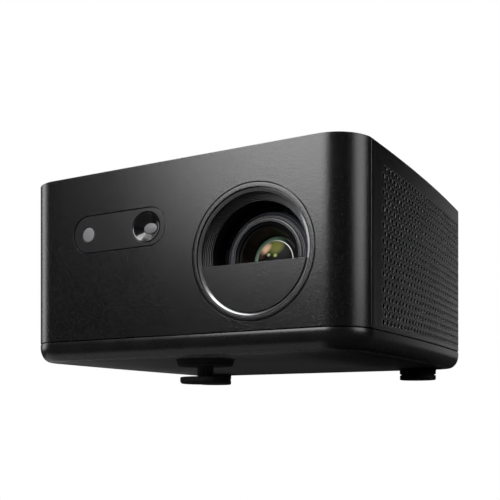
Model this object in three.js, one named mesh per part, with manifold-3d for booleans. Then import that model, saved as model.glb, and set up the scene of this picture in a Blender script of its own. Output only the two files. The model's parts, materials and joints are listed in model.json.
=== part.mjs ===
// A home projector: a painted front shell, perforated side walls and a bowl-shaped base round a
// projection lens, its light engine, fans, boards and speakers, standing on three feet.
// Millimetres, +Z up. The front faces -Y, the origin lies on the standing surface under the middle
// of the body, and the front foot is drawn screwed out, so the body is level while it is held.
import * as THREE from "three";
import { mergeVertices } from "three/addons/utils/BufferGeometryUtils.js";
import Module from "manifold-3d";

const wasm = await Module();
wasm.setup();

// ---------------------------------------------------------------- driving dimensions

// Body
const WIDTH = 240;
const DEPTH = 224.6;
const SIDE_BOW = 3.35; // how far each side bulges at its middle
const FRONT_CORNER_R = 24;
const REAR_CORNER_R = 22;
const SHELL_HEIGHT = 105.3; // from the seam to the top face
const TRAY_HEIGHT = 12; // from the underside to the seam
const WALL = 2.4;
const GRILLE_WALL = 2;
const GAP = 0.3; // between pieces that are fitted together
const SEAM_GAP = 0.6; // the dark line between shell and base
const SIDE_SEAM_BACK = 19.8; // from the front face back to where the grilles start
const REAR_SEAM_IN = 23; // from the widest side in to the rear cover's edge

// Base
const TRAY_STRAIGHT = 2.4; // upright strip under the seam before the bowl turns in
const TRAY_INSET = 7.4; // how far the bowl's turn goes in
const PLATE_THICKNESS = 2.2;
const TRAY_FLOOR = 2.2;

// Feet
const FOOT_EXTENSION = 6.9; // the front foot as drawn, past level
const FOOT_MORE = 3.1; // what is left of its thread
const REAR_FOOT_HEIGHT = 8.5;
const BOSS_HEIGHT = 4.2;
const REAR_FOOT_R = 13.3;
const REAR_FOOT_IN = 31; // from the widest side
const REAR_FOOT_FORWARD = 26.3; // from the rear face
const FRONT_FOOT_BACK = 37.3; // from the front face
const FRONT_BOSS_R = 17.4;
const FRONT_PAD_R = 16.1;
const STEM_R = 5.2;
const STEM_FLUTES = 12;
const PAD_CLEAR = 0.1; // between the pad and the boss when the foot is screwed right in

// Lens opening and bezel; depths are behind the front face
const LENS_HEIGHT = 57.05; // above the underside
const RING_R = 39.4;
const RING_TO_CORNER = 3.25; // from the ring to where the front corner's curve starts
const LENS_X = WIDTH / 2 - FRONT_CORNER_R - RING_TO_CORNER - RING_R;
const RING_BAND = 3.55;
const RING_CHAMFER = 1.45;
const RING_DEPTH = 2.4;
const RING_FLANGE = 2.8;
const BAFFLE_R = 31; // clear radius behind the ribs
const BAFFLE_RIBS = 6;
const BAFFLE_RIB_DEPTH = 1.05;
const BAFFLE_DEPTH = 26;
const SHIELD_BELOW = 6; // the shield's straight edge is this far under the axis
const SHIELD_THICKNESS = 1.6;

// Projection lens
const NOSE_DEPTH = 18;
const NOSE_R = 22.4;
const NOSE_COLLAR_R = 24.3;
const NOSE_FLANGE_R = 28.3;
const CELL_TUBE_R = 20.5;
const FRONT_GLASS_R = 14.6;
const FRONT_GLASS_DEPTH = 30.5;
const BARREL_R = 26;
const BARREL_BORE_R = 21.1;
const BARREL_DEPTH = 38;
const BARREL_LENGTH = 62;
const REAR_GLASS_R = 15;
const RING_TEETH = 48;
const RING_GEAR_WALL = 5.2; // from the barrel's skin to the ring gear's pitch circle
const GEAR_MODULE = (2 * (BARREL_R + RING_GEAR_WALL)) / RING_TEETH;
const PINION_TEETH = 12;
const GEAR_FACE = 7;
const MOTOR_R = 9.5;
const MOTOR_LENGTH = 16;
const MOTOR_ANGLE = 135; // where the motor sits round the lens, degrees from +X

// Sensor window
const PILL_IN = 79.15; // from the widest side to the window's middle
const PILL_X = -WIDTH / 2 + PILL_IN;
const PILL_HEIGHT = 79.3; // above the underside
const PILL_LENGTH = 70.4;
const PILL_WIDTH = 23.4;
const POCKET_OUT = 21.2; // camera pocket from the window's middle
const POCKET_RX = 10.4;
const POCKET_RZ = 9.5;
const EYE_LENGTH = 9.7;
const EYE_HEIGHT = 6.6;
const DOT_OUT = -23.6;
const DOT_R = 4.5;

// Side perforation, drawn as upright slots
const SLOT_PITCH = 5.92;
const SLOT_WIDTH = 3.2;
const SLOT_FRONT = 38; // from the front face to the first slot
const SLOT_BOTTOM = 6; // above the seam
const SLOT_TOP = 11.8; // below the top face
const SLOT_COUNT = 28;

// Fans
const EXHAUST_FAN = { size: 80, depth: 20, x: -WIDTH / 2 + 22, y: 18, height: 62, hub: 15, blades: 7 };
const INTAKE_FAN = { size: 60, depth: 15, x: WIDTH / 2 - 19, y: 32, height: 62, hub: 11, blades: 7 };

// Ports on the rear
const BAY_WIDTH = 172;
const BAY_HEIGHT = 25;
const BAY_DEPTH = 8;
const BAY_ABOVE_SEAM = 3.5;

// Boards
const BOARD_LIFT = 12; // above the tray's floor

// Power button
const BUTTON_X = -WIDTH / 2 + 42;
const BUTTON_FORWARD = 34; // from the rear face
const BUTTON_R = 7;
const BUTTON_TRAVEL = 0.8;
const BUTTON_CAP = 3;
const BUTTON_BELOW = 0.2; // the cap's top under the cover's face
const BUTTON_WELL = 13; // depth of the well that the button and its spring sit in

// Smoothness
const ROUND = 22;
const SMALL_ROUND = 16;

const PAST = 1; // how far a cut runs beyond the wall it opens

// ---------------------------------------------------------------- levels worked out from them

const FRONT_Y = -DEPTH / 2;
const REAR_Y = DEPTH / 2;
const UNDERSIDE_Z = REAR_FOOT_HEIGHT + FOOT_EXTENSION;
const SEAM_Z = UNDERSIDE_Z + TRAY_HEIGHT;
const SHELL_Z = SEAM_Z + SEAM_GAP;
const TOP_Z = SEAM_Z + SHELL_HEIGHT;
const FLOOR_Z = UNDERSIDE_Z + PLATE_THICKNESS + GAP;
const INNER_Z = FLOOR_Z + TRAY_FLOOR;
const BOARD_Z = INNER_Z + BOARD_LIFT;
const SIDE_SEAM_Y = FRONT_Y + SIDE_SEAM_BACK;
const REAR_SEAM_X = WIDTH / 2 - REAR_SEAM_IN;
const LENS_Z = UNDERSIDE_Z + LENS_HEIGHT;
const BARREL_END = BARREL_DEPTH + BARREL_LENGTH;

// ---------------------------------------------------------------- materials

const paint = (color, roughness, metalness) =>
  new THREE.MeshStandardMaterial({ color, roughness, metalness });
const FINISH = {
  shell: () => paint(0x2b2b2d, 0.55, 0.35),
  base: () => paint(0x101011, 0.4, 0.1),
  plate: () => paint(0x29292a, 0.6, 0.1),
  inner: () => paint(0x0b0b0c, 0.6, 0),
  barrel: () => paint(0x18181b, 0.35, 0.5),
  window: () => paint(0x1c1c1e, 0.35, 0.1),
  grey: () => paint(0x6c6c70, 0.4, 0.1),
  glass: () => paint(0x3f4a38, 0.05, 0),
  rubber: () => paint(0x070707, 0.85, 0),
  metal: () => paint(0xb4b6b8, 0.35, 1),
  copper: () => paint(0xb06a42, 0.35, 1),
  board: () => paint(0x12361f, 0.5, 0),
  socket: () => paint(0x8d8f92, 0.35, 1),
  cable: () => paint(0xc9c2ae, 0.5, 0),
  nylon: () => paint(0xd8d4c4, 0.5, 0),
};

// ---------------------------------------------------------------- solids

// A closed geometry as a solid with its faces pointing out.
function solid(geometry) {
  const bare = new THREE.BufferGeometry();
  bare.setAttribute("position", geometry.getAttribute("position"));
  bare.setIndex(geometry.index);
  const merged = mergeVertices(bare, 1e-4);
  const vertProperties = merged.attributes.position.array;
  const triVerts = new Uint32Array(merged.index.array);
  const build = () => new wasm.Manifold(new wasm.Mesh({ numProp: 3, vertProperties, triVerts }));
  const made = build();
  if (made.volume() > 0) return made;
  for (let i = 0; i < triVerts.length; i += 3) {
    [triVerts[i + 1], triVerts[i + 2]] = [triVerts[i + 2], triVerts[i + 1]];
  }
  return build();
}

function geometryOf(made) {
  const mesh = made.getMesh();
  const geometry = new THREE.BufferGeometry();
  geometry.setAttribute("position", new THREE.BufferAttribute(mesh.vertProperties, mesh.numProp));
  geometry.setIndex(new THREE.BufferAttribute(mesh.triVerts, 1));
  geometry.computeVertexNormals();
  return geometry;
}

const joined = (first, ...others) => others.reduce((sum, next) => sum.add(next), first);
const cut = (first, ...others) => others.reduce((rest, next) => rest.subtract(next), first);

// A box from its lowest to its highest corner.
function block(x0, y0, z0, x1, y1, z1) {
  const geometry = new THREE.BoxGeometry(x1 - x0, y1 - y0, z1 - z0);
  return solid(geometry.translate((x0 + x1) / 2, (y0 + y1) / 2, (z0 + z1) / 2));
}

// A flat shape pulled up from z0 to z1.
function prism(shape, z0, z1, curveSegments = 6) {
  const settings = { depth: z1 - z0, bevelEnabled: false, curveSegments };
  return solid(new THREE.ExtrudeGeometry(shape, settings).translate(0, 0, z0));
}

// A closed profile of [radius, distance along the axis] turned round +Y, +Z or +X.
function turned(profile, axis = "y", segments = ROUND) {
  const points = [...profile, profile[0]].map(([r, along]) => new THREE.Vector2(r, along));
  const geometry = new THREE.LatheGeometry(points, segments);
  if (axis === "z") geometry.rotateX(Math.PI / 2);
  if (axis === "x") geometry.rotateZ(-Math.PI / 2);
  return solid(geometry);
}

const disc = (radius, from, to, axis = "y", segments = ROUND) =>
  turned([[0, from], [radius, from], [radius, to], [0, to]], axis, segments);
const tube = (inner, outer, from, to, axis = "y", segments = ROUND) =>
  turned([[inner, from], [outer, from], [outer, to], [inner, to]], axis, segments);

// A round-ended bar in the XZ plane, centred on the origin, from y0 to y1.
function pill(length, width, y0, y1) {
  const half = (length - width) / 2;
  const shape = new THREE.Shape();
  shape.absarc(half, 0, width / 2, -Math.PI / 2, Math.PI / 2);
  shape.absarc(-half, 0, width / 2, Math.PI / 2, (3 * Math.PI) / 2);
  return prism(shape, -y1, -y0, 8).rotate([90, 0, 0]);
}

function mesh(name, made, material) {
  const part = new THREE.Mesh(geometryOf(made), material);
  part.name = name;
  return part;
}

function group(x, y, z, ...children) {
  const made = new THREE.Group();
  made.position.set(x, y, z);
  made.add(...children);
  return made;
}

// ---------------------------------------------------------------- body outline

// The side wall's half width at y: a shallow bow, widest at the middle.
const sideX = (y) => WIDTH / 2 - SIDE_BOW * ((2 * y) / DEPTH) ** 2;
const sideLean = (y) => Math.atan((8 * SIDE_BOW * Math.abs(y)) / DEPTH ** 2);

// The plan of the body moved in by inset: flat front and rear, bowed sides, round corners.
function outline(inset, cornerSteps = 4, sideSteps = 4) {
  const right = [];
  const corner = (radius, y, from, to) => {
    const lean = sideLean(y);
    const x = sideX(y) - radius * Math.cos(lean);
    for (let i = 0; i <= cornerSteps; i++) {
      const angle = from(lean) + ((to(lean) - from(lean)) * i) / cornerSteps;
      const r = radius - inset;
      right.push([x + r * Math.cos(angle), y + r * Math.sin(angle)]);
    }
  };
  const frontY = FRONT_Y + FRONT_CORNER_R;
  const rearY = REAR_Y - REAR_CORNER_R;
  corner(FRONT_CORNER_R, frontY, () => -Math.PI / 2, (lean) => -lean);
  for (let i = 1; i < sideSteps; i++) {
    const y = frontY + ((rearY - frontY) * i) / sideSteps;
    right.push([sideX(y) - inset, y]);
  }
  corner(REAR_CORNER_R, rearY, (lean) => lean, () => Math.PI / 2);
  const left = right.map(([x, y]) => [-x, y]).reverse();
  return [...right, ...left];
}

const outlineShape = (inset) => new THREE.Shape(outline(inset).map(([x, y]) => new THREE.Vector2(x, y)));

// A closed solid through outlines stacked upward: sections are [inset, z].
function stacked(sections) {
  const rings = sections.map(([inset, z]) => outline(inset).map(([x, y]) => [x, y, z]));
  const count = rings[0].length;
  const index = [];
  for (let level = 0; level + 1 < rings.length; level++) {
    for (let i = 0; i < count; i++) {
      const a = level * count + i;
      const b = level * count + ((i + 1) % count);
      index.push(a, b, b + count, a, b + count, a + count);
    }
  }
  const flat = rings[0].map(([x, y]) => new THREE.Vector2(x, y));
  const top = (rings.length - 1) * count;
  for (const [a, b, c] of THREE.ShapeUtils.triangulateShape(flat, [])) {
    index.push(a, c, b, top + a, top + b, top + c);
  }
  const geometry = new THREE.BufferGeometry();
  geometry.setAttribute("position", new THREE.Float32BufferAttribute(rings.flat(2), 3));
  geometry.setIndex(index);
  return solid(geometry);
}

// The upright wall of the body, open above and below.
const shellBand = (wall) =>
  cut(prism(outlineShape(0), SHELL_Z, TOP_Z), prism(outlineShape(wall), SHELL_Z - PAST, TOP_Z + PAST));

// ---------------------------------------------------------------- outer shell

const FAR = WIDTH; // further than any wall

function frontCover() {
  const band = shellBand(WALL).intersect(block(-FAR, -FAR, 0, FAR, SIDE_SEAM_Y, FAR));
  const through = [FRONT_Y - PAST, FRONT_Y + WALL + PAST];
  const lensHole = disc(RING_R + GAP, ...through).translate([LENS_X, 0, LENS_Z]);
  const pillHole = pill(PILL_LENGTH + 2 * GAP, PILL_WIDTH + 2 * GAP, ...through);
  return cut(band, lensHole, pillHole.translate([PILL_X, 0, UNDERSIDE_Z + PILL_HEIGHT]));
}

// One perforated side wall, round its rear corner to the rear cover; side is +1 or -1.
function sideGrille(side) {
  const front = block(-FAR, -FAR, 0, FAR, SIDE_SEAM_Y + GAP, FAR);
  const middle = block(-FAR, -FAR, 0, REAR_SEAM_X, FAR, FAR);
  const slots = [];
  for (let i = 0; i < SLOT_COUNT; i++) {
    const y = FRONT_Y + SLOT_FRONT + i * SLOT_PITCH;
    slots.push(block(WIDTH / 4, y, SHELL_Z + SLOT_BOTTOM, FAR, y + SLOT_WIDTH, TOP_Z - SLOT_TOP));
  }
  const wall = cut(shellBand(GRILLE_WALL), front, middle, ...slots);
  return side > 0 ? wall : wall.mirror([1, 0, 0]);
}

// The rear wall with a sunk bay that the sockets open into.
function rearCover() {
  const edge = REAR_SEAM_X - GAP;
  const wall = block(-edge, REAR_Y - WALL, SHELL_Z, edge, REAR_Y, TOP_Z);
  const z0 = SHELL_Z + BAY_ABOVE_SEAM;
  const z1 = z0 + BAY_HEIGHT;
  const half = BAY_WIDTH / 2;
  const inner = REAR_Y - BAY_DEPTH;
  const bay = block(-half - WALL, inner - WALL, z0 - WALL, half + WALL, REAR_Y - 1, z1 + WALL);
  const hollow = block(-half, inner, z0, half, REAR_Y + PAST, z1);
  const openings = SOCKETS.map(({ x, width, height }) => {
    const side = width / 2 + GAP;
    const low = BOARD_Z + SOCKET_LIFT - GAP;
    return block(x - side, inner - WALL - PAST, low, x + side, inner + PAST, low + height + 2 * GAP);
  });
  return cut(joined(wall, bay), hollow, ...openings);
}

function topCover() {
  const rim = WALL + GAP;
  const plate = prism(outlineShape(rim), TOP_Z - WALL, TOP_Z);
  const cupWall = 1.7;
  const cupFloor = TOP_Z - BUTTON_WELL;
  const cup = disc(BUTTON_R + GAP + cupWall, cupFloor - cupWall, TOP_Z - WALL / 2, "z", SMALL_ROUND);
  const well = disc(BUTTON_R + GAP, cupFloor, TOP_Z + PAST, "z", SMALL_ROUND);
  const place = [BUTTON_X, REAR_Y - BUTTON_FORWARD, 0];
  return cut(joined(plate, cup.translate(place)), well.translate(place));
}

const CAP_FLOOR = TOP_Z - BUTTON_BELOW - BUTTON_CAP;

function powerButton() {
  const guideLength = BUTTON_WELL - BUTTON_BELOW - BUTTON_CAP - 3 * BUTTON_TRAVEL - 1.4;
  const cap = disc(BUTTON_R, CAP_FLOOR, TOP_Z - BUTTON_BELOW, "z", SMALL_ROUND);
  const guide = disc(2, CAP_FLOOR - guideLength, CAP_FLOOR + GAP, "z", SMALL_ROUND);
  return joined(cap, guide).translate([BUTTON_X, REAR_Y - BUTTON_FORWARD, 0]);
}

class Helix extends THREE.Curve {
  constructor(radius, turns, z0, z1) {
    super();
    Object.assign(this, { radius, turns, z0, z1 });
  }
  getPoint(t, target = new THREE.Vector3()) {
    const angle = 2 * Math.PI * this.turns * t;
    const z = this.z0 + (this.z1 - this.z0) * t;
    return target.set(this.radius * Math.cos(angle), this.radius * Math.sin(angle), z);
  }
}

// A bar of round section along a curve.
function rod(curve, radius, steps, sides = 8) {
  const section = new THREE.Shape().absarc(0, 0, radius, 0, 2 * Math.PI);
  const settings = { steps, extrudePath: curve, curveSegments: sides / 2, bevelEnabled: false };
  return solid(new THREE.ExtrudeGeometry(section, settings));
}

function buttonSpring() {
  const wire = 0.45;
  const low = TOP_Z - BUTTON_WELL + wire + GAP;
  const coil = rod(new Helix(4, 3.5, low, CAP_FLOOR - wire - GAP), wire, 36, 6);
  return coil.translate([BUTTON_X, REAR_Y - BUTTON_FORWARD, 0]);
}

// ---------------------------------------------------------------- base

const FRONT_FOOT = [0, FRONT_Y + FRONT_FOOT_BACK, 0];
const rearFoot = (side) => [side * (WIDTH / 2 - REAR_FOOT_IN), REAR_Y - REAR_FOOT_FORWARD, 0];

const SCREW_IN = [22, 52]; // from the widest side and from the front or rear face
const SCREW_PLACES = [[-1, -1], [1, -1], [1, 1], [-1, 1]].map(([sideX, sideY]) => [
  sideX * (WIDTH / 2 - SCREW_IN[0]),
  sideY * (DEPTH / 2 - SCREW_IN[1]),
  0,
]);
const SCREW_HOLE_R = 1.6;
const STEM_HOLE_R = STEM_R + 0.5;

// The bowl: an upright strip, a quarter-ellipse turn, and a floor raised over the bottom plate.
function baseTray() {
  const turnHeight = TRAY_HEIGHT - TRAY_STRAIGHT;
  const profile = (grow, lift) => {
    const sections = [];
    const steps = 4;
    for (let i = 0; i <= steps; i++) {
      const angle = (Math.PI / 2) * (i / steps);
      const inset = grow + TRAY_INSET * (1 - Math.sin(angle));
      sections.push([inset, UNDERSIDE_Z + lift + turnHeight * (1 - Math.cos(angle))]);
    }
    return sections;
  };
  const outer = stacked([...profile(0, 0), [0, SEAM_Z]]);
  const bowlTurn = profile(WALL, INNER_Z - UNDERSIDE_Z).slice(0, 3);
  const hollow = stacked([...bowlTurn, [WALL, SEAM_Z + PAST]]);
  const plateSeat = prism(outlineShape(TRAY_INSET + 1), UNDERSIDE_Z - PAST, FLOOR_Z);
  const low = INNER_Z - TRAY_FLOOR / 2;
  const sleeves = SCREW_PLACES.map((place) => disc(4, low, INNER_Z + 5, "z", 12).translate(place));
  const posts = BOARD_POSTS.map(([x, y]) => disc(2.5, low, BOARD_Z - GAP, "z", 8).translate([x, y, 0]));
  const bowl = joined(cut(outer, hollow, plateSeat), ...sleeves, ...posts);
  const stemHole = disc(STEM_HOLE_R, 0, SEAM_Z, "z", SMALL_ROUND).translate(FRONT_FOOT);
  const screwHole = disc(SCREW_HOLE_R, 0, SEAM_Z, "z", 8);
  return cut(bowl, stemHole, ...SCREW_PLACES.map((place) => screwHole.translate(place)));
}

const BOSS_Z = UNDERSIDE_Z - BOSS_HEIGHT;
const FOOT_PLUG_R = 3.9; // the plug that holds a foot in its boss
const SCREW_HEAD_R = 3;
const SCREW_SUNK = 1.2;

// The flat underside, with the bosses that the feet sit on.
function bottomPlate() {
  const plate = prism(outlineShape(TRAY_INSET + 1 + GAP), UNDERSIDE_Z, UNDERSIDE_Z + PLATE_THICKNESS);
  const into = UNDERSIDE_Z + PLATE_THICKNESS / 4;
  const draft = 1.3;
  const bossSide = [[FRONT_BOSS_R, BOSS_Z], [FRONT_BOSS_R + draft, into]];
  const frontBoss = turned([[0, BOSS_Z], ...bossSide, [0, into]], "z", 24).translate(FRONT_FOOT);
  const rearBoss = disc(REAR_FOOT_R, BOSS_Z, into, "z", 24);
  const footHole = disc(FOOT_PLUG_R + GAP, 0, UNDERSIDE_Z - 1, "z", 12);
  const stemHole = disc(STEM_HOLE_R, 0, SEAM_Z, "z", SMALL_ROUND).translate(FRONT_FOOT);
  const sunkHead = disc(SCREW_HEAD_R + GAP, 0, UNDERSIDE_Z + SCREW_SUNK, "z", 12);
  const screwHole = joined(disc(SCREW_HOLE_R, 0, SEAM_Z, "z", 8), sunkHead);
  const screwHoles = SCREW_PLACES.map((place) => screwHole.translate(place));
  const rearFeet = [rearFoot(-1), rearFoot(1)];
  const body = joined(plate, frontBoss, ...rearFeet.map((place) => rearBoss.translate(place)));
  return cut(body, stemHole, ...rearFeet.map((place) => footHole.translate(place)), ...screwHoles);
}

function baseScrew(place) {
  const head = disc(SCREW_HEAD_R, UNDERSIDE_Z + GAP, UNDERSIDE_Z + SCREW_SUNK - 0.05, "z", 12);
  const shank = disc(SCREW_HOLE_R - GAP, UNDERSIDE_Z + SCREW_SUNK / 2, INNER_Z + 3, "z", 8);
  return joined(head, shank).translate(place);
}

// A rubber foot: a plug up the boss, a narrow neck, and the tread.
function rearFootPad(side) {
  const low = FOOT_EXTENSION;
  const high = BOSS_Z - GAP;
  const ease = 0.5;
  const neck = REAR_FOOT_R - 1;
  const plugTop = high + 2.5;
  const tread = [[0, low], [REAR_FOOT_R - ease, low], [REAR_FOOT_R, low + ease], [REAR_FOOT_R, high - 0.7]];
  const plug = [[neck, high - ease], [neck, high], [FOOT_PLUG_R, high], [FOOT_PLUG_R, plugTop], [0, plugTop]];
  return turned([...tread, ...plug], "z", 24).translate(rearFoot(side));
}

const PAD_TOP = REAR_FOOT_HEIGHT - BOSS_HEIGHT - PAD_CLEAR;
const TIP_R = 3.6; // the stem's end, which turns in the pad
const TIP_DEPTH = 1.8;

// The stem: fluted from the boss to the pad, with a stop collar above the tray's floor.
function footStem() {
  const shape = new THREE.Shape();
  for (let i = 0; i < STEM_FLUTES * 4; i++) {
    const angle = (2 * Math.PI * i) / (STEM_FLUTES * 4);
    const radius = i % 4 < 2 ? STEM_R : STEM_R - 0.5;
    const point = [radius * Math.cos(angle), radius * Math.sin(angle)];
    if (i === 0) shape.moveTo(...point);
    else shape.lineTo(...point);
  }
  const collarZ = INNER_Z + FOOT_MORE + GAP;
  const fluted = prism(shape, PAD_TOP + GAP, collarZ + 1);
  const tip = disc(TIP_R, PAD_TOP - TIP_DEPTH, PAD_TOP + 1, "z", 12);
  const collar = disc(STEM_R + 2.3, collarZ, collarZ + 2, "z", SMALL_ROUND);
  return joined(fluted, tip, collar).translate(FRONT_FOOT);
}

function footPad() {
  const ease = 0.4;
  const seat = PAD_TOP - TIP_DEPTH - GAP;
  const tread = [[0, 0], [FRONT_PAD_R - 4 * ease, 0], [FRONT_PAD_R - ease, ease], [FRONT_PAD_R, 4 * ease]];
  const top = [[FRONT_PAD_R, PAD_TOP - ease], [FRONT_PAD_R - ease, PAD_TOP], [TIP_R + GAP, PAD_TOP]];
  return turned([...tread, ...top, [TIP_R + GAP, seat], [0, seat]], "z").translate(FRONT_FOOT);
}

// ---------------------------------------------------------------- lens bezel, depths along +Y

const RING_LIP_R = RING_R - RING_BAND - RING_CHAMFER;

function trimRing() {
  const seat = WALL + GAP;
  return turned([
    [RING_R - RING_BAND, 0], [RING_R, 0], [RING_R, seat], [RING_R + RING_FLANGE, seat],
    [RING_R + RING_FLANGE, seat + 2], [RING_R - 0.8, seat + 2], [RING_R - 0.8, RING_DEPTH],
    [RING_LIP_R, RING_DEPTH],
  ]);
}

// The baffle: a stepped funnel behind the ring, then a plain tube round the lens.
function baffle() {
  const front = RING_DEPTH + GAP;
  const stepIn = (RING_LIP_R - BAFFLE_R) / BAFFLE_RIBS;
  const inside = [];
  for (let i = 0; i < BAFFLE_RIBS; i++) {
    const radius = RING_LIP_R - i * stepIn;
    inside.push([radius, front + i * BAFFLE_RIB_DEPTH], [radius, front + (i + 1) * BAFFLE_RIB_DEPTH]);
  }
  const outer = RING_R - 0.8 - GAP;
  const skin = BAFFLE_R + 1.6;
  const tubeFront = [BAFFLE_R, front + BAFFLE_RIBS * BAFFLE_RIB_DEPTH];
  const tubeEnd = [[BAFFLE_R, BAFFLE_DEPTH], [skin, BAFFLE_DEPTH], [skin, front + 8]];
  return turned([...inside, tubeFront, ...tubeEnd, [outer, front + 2], [outer, front]]);
}

// The half-moon plate that covers the lower part of the lens opening.
function shieldPlate(grow = 0) {
  const front = RING_DEPTH - 0.2;
  const round = disc(RING_LIP_R - GAP + grow, front - grow, front + SHIELD_THICKNESS + grow);
  return round.intersect(block(-FAR, -10, -FAR, FAR, 20, -SHIELD_BELOW + grow));
}

// ---------------------------------------------------------------- projection lens, depths along +Y

// The moving front cell: a bright-edged nose, a flared collar and a tube that slides in the barrel.
function frontCell() {
  const d = NOSE_DEPTH;
  const glassSeat = FRONT_GLASS_DEPTH;
  return turned([
    [NOSE_R - 1.4, d], [NOSE_R, d + 0.3], [NOSE_R, d + 1], [NOSE_COLLAR_R, d + 1.4], [NOSE_COLLAR_R, d + 2],
    [NOSE_FLANGE_R, d + 4.4], [NOSE_FLANGE_R, d + 12], [NOSE_FLANGE_R - 2, d + 12],
    [NOSE_FLANGE_R - 2, d + 14], [CELL_TUBE_R, d + 16], [CELL_TUBE_R, d + 44],
    [CELL_TUBE_R - 1.6, d + 44], [CELL_TUBE_R - 1.6, glassSeat + 8], [FRONT_GLASS_R + GAP, glassSeat + 8],
    [FRONT_GLASS_R + GAP, glassSeat], [FRONT_GLASS_R + 0.4, glassSeat - 1],
    [17.7, d + 3.2], [NOSE_R - 2.4, d + 1.5],
  ]);
}

// A lens element: two spherical faces between rims.
function element(radius, from, to, frontBulge, rearBulge) {
  const steps = 3;
  const profile = [];
  for (let i = 0; i <= steps; i++) {
    const r = (radius * i) / steps;
    profile.push([r, from - frontBulge * (1 - (r / radius) ** 2)]);
  }
  for (let i = steps; i >= 0; i--) {
    const r = (radius * i) / steps;
    profile.push([r, to + rearBulge * (1 - (r / radius) ** 2)]);
  }
  return turned(profile, "y", 24);
}

const frontElement = () => element(FRONT_GLASS_R, FRONT_GLASS_DEPTH + 0.6, FRONT_GLASS_DEPTH + 5, 3, 1);
const rearElement = () => element(REAR_GLASS_R, BARREL_END - 12, BARREL_END - 6, 2, 3);

function barrel() {
  const b = BARREL_DEPTH;
  const end = BARREL_END;
  const ringTo = FOCUS_RING_DEPTH + GEAR_FACE + GAP;
  return turned([
    [BARREL_BORE_R, b], [BARREL_R, b], [BARREL_R, ringTo],
    [BARREL_R + 2.5, ringTo], [BARREL_R + 2.5, ringTo + 3],
    [BARREL_R - 1, ringTo + 5], [BARREL_R - 1, end - 5], [BARREL_R + 8, end - 5], [BARREL_R + 8, end],
    [REAR_GLASS_R + GAP, end], [REAR_GLASS_R + GAP, end - 16], [REAR_GLASS_R - 1.5, end - 16],
    [REAR_GLASS_R - 1.5, end - 18], [BARREL_BORE_R, end - 18],
  ]);
}

const FOCUS_RING_DEPTH = BARREL_DEPTH + 2;

// A spur gear outline: each tooth is a trapezium between its root and tip circles.
function gearShape(teeth, bore) {
  const pitch = (GEAR_MODULE * teeth) / 2;
  const root = pitch - 1.25 * GEAR_MODULE;
  const tip = pitch + 0.9 * GEAR_MODULE;
  const shape = new THREE.Shape();
  const corners = [[-0.3, root], [-0.13, tip], [0.13, tip], [0.3, root]];
  for (let i = 0; i < teeth; i++) {
    for (const [offset, radius] of corners) {
      const angle = ((i + offset) * 2 * Math.PI) / teeth;
      const point = [radius * Math.cos(angle), radius * Math.sin(angle)];
      if (i === 0 && offset === corners[0][0]) shape.moveTo(...point);
      else shape.lineTo(...point);
    }
  }
  shape.holes.push(new THREE.Path().absarc(0, 0, bore, 0, 2 * Math.PI));
  return shape;
}

// A gear whose axis is +Y, turned by angle radians about it.
const gear = (teeth, bore, from, to, angle) =>
  prism(gearShape(teeth, bore), -to, -from, 12).rotate([90, 0, 0]).rotate([0, (-angle * 180) / Math.PI, 0]);

const PINION_REACH = (GEAR_MODULE * (RING_TEETH + PINION_TEETH)) / 2 + 0.1;
const MOTOR_TURN = (MOTOR_ANGLE * Math.PI) / 180;
const PINION_PLACE = [PINION_REACH * Math.cos(MOTOR_TURN), 0, PINION_REACH * Math.sin(MOTOR_TURN)];

const focusRing = () =>
  gear(RING_TEETH, BARREL_R + GAP, FOCUS_RING_DEPTH, FOCUS_RING_DEPTH + GEAR_FACE, MOTOR_TURN);

function focusPinion() {
  const mesh = MOTOR_TURN + Math.PI + Math.PI / PINION_TEETH;
  const pinion = gear(PINION_TEETH, 1.6, FOCUS_RING_DEPTH, FOCUS_RING_DEPTH + GEAR_FACE, mesh);
  return pinion.translate(PINION_PLACE);
}

function focusMotor() {
  const from = FOCUS_RING_DEPTH + GEAR_FACE + 1;
  const body = disc(MOTOR_R, from, from + MOTOR_LENGTH, "y", 20);
  const shaft = disc(1.3, FOCUS_RING_DEPTH - 0.5, from + 1, "y", 10);
  const ears = pill(2 * MOTOR_R + 14, 7, from, from + 1.2).rotate([0, 90 - MOTOR_ANGLE, 0]);
  return joined(body, shaft, ears).translate(PINION_PLACE);
}

const dustSeal = () => tube(NOSE_FLANGE_R + 0.6, BAFFLE_R - GAP, BAFFLE_DEPTH - 3, BAFFLE_DEPTH - 0.5);

// ---------------------------------------------------------------- sensor window

const SENSOR_PLACE = [PILL_X, FRONT_Y, UNDERSIDE_Z + PILL_HEIGHT];

// An oval cylinder along +Y.
const oval = (rx, rz, from, to, segments = 24) => disc(1, from, to, "y", segments).scale([rx, 1, rz]);

function sensorWindow() {
  const face = pill(PILL_LENGTH, PILL_WIDTH, 0.25, WALL + GAP + 0.5);
  const flange = pill(PILL_LENGTH + 5, PILL_WIDTH + 5, WALL + GAP, WALL + GAP + 1.5);
  const pocket = oval(POCKET_RX, POCKET_RZ, -1, 10).translate([POCKET_OUT, 0, 0]);
  const dot = disc(DOT_R + GAP, -1, 10, "y", SMALL_ROUND).translate([DOT_OUT, 0, 0]);
  return cut(joined(face, flange), pocket, dot);
}

// The flared oval cup round the camera.
function cameraBezel() {
  const rings = [[1, 0.4], [1, 8], [0.42, 8], [0.42, 5], [0.46, 4.6]];
  const cup = turned(rings, "y", 24).scale([POCKET_RX - GAP, 1, POCKET_RZ - GAP]);
  return cut(cup, pill(EYE_LENGTH + GAP, EYE_HEIGHT + GAP, 2, 9)).translate([POCKET_OUT, 0, 0]);
}

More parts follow.
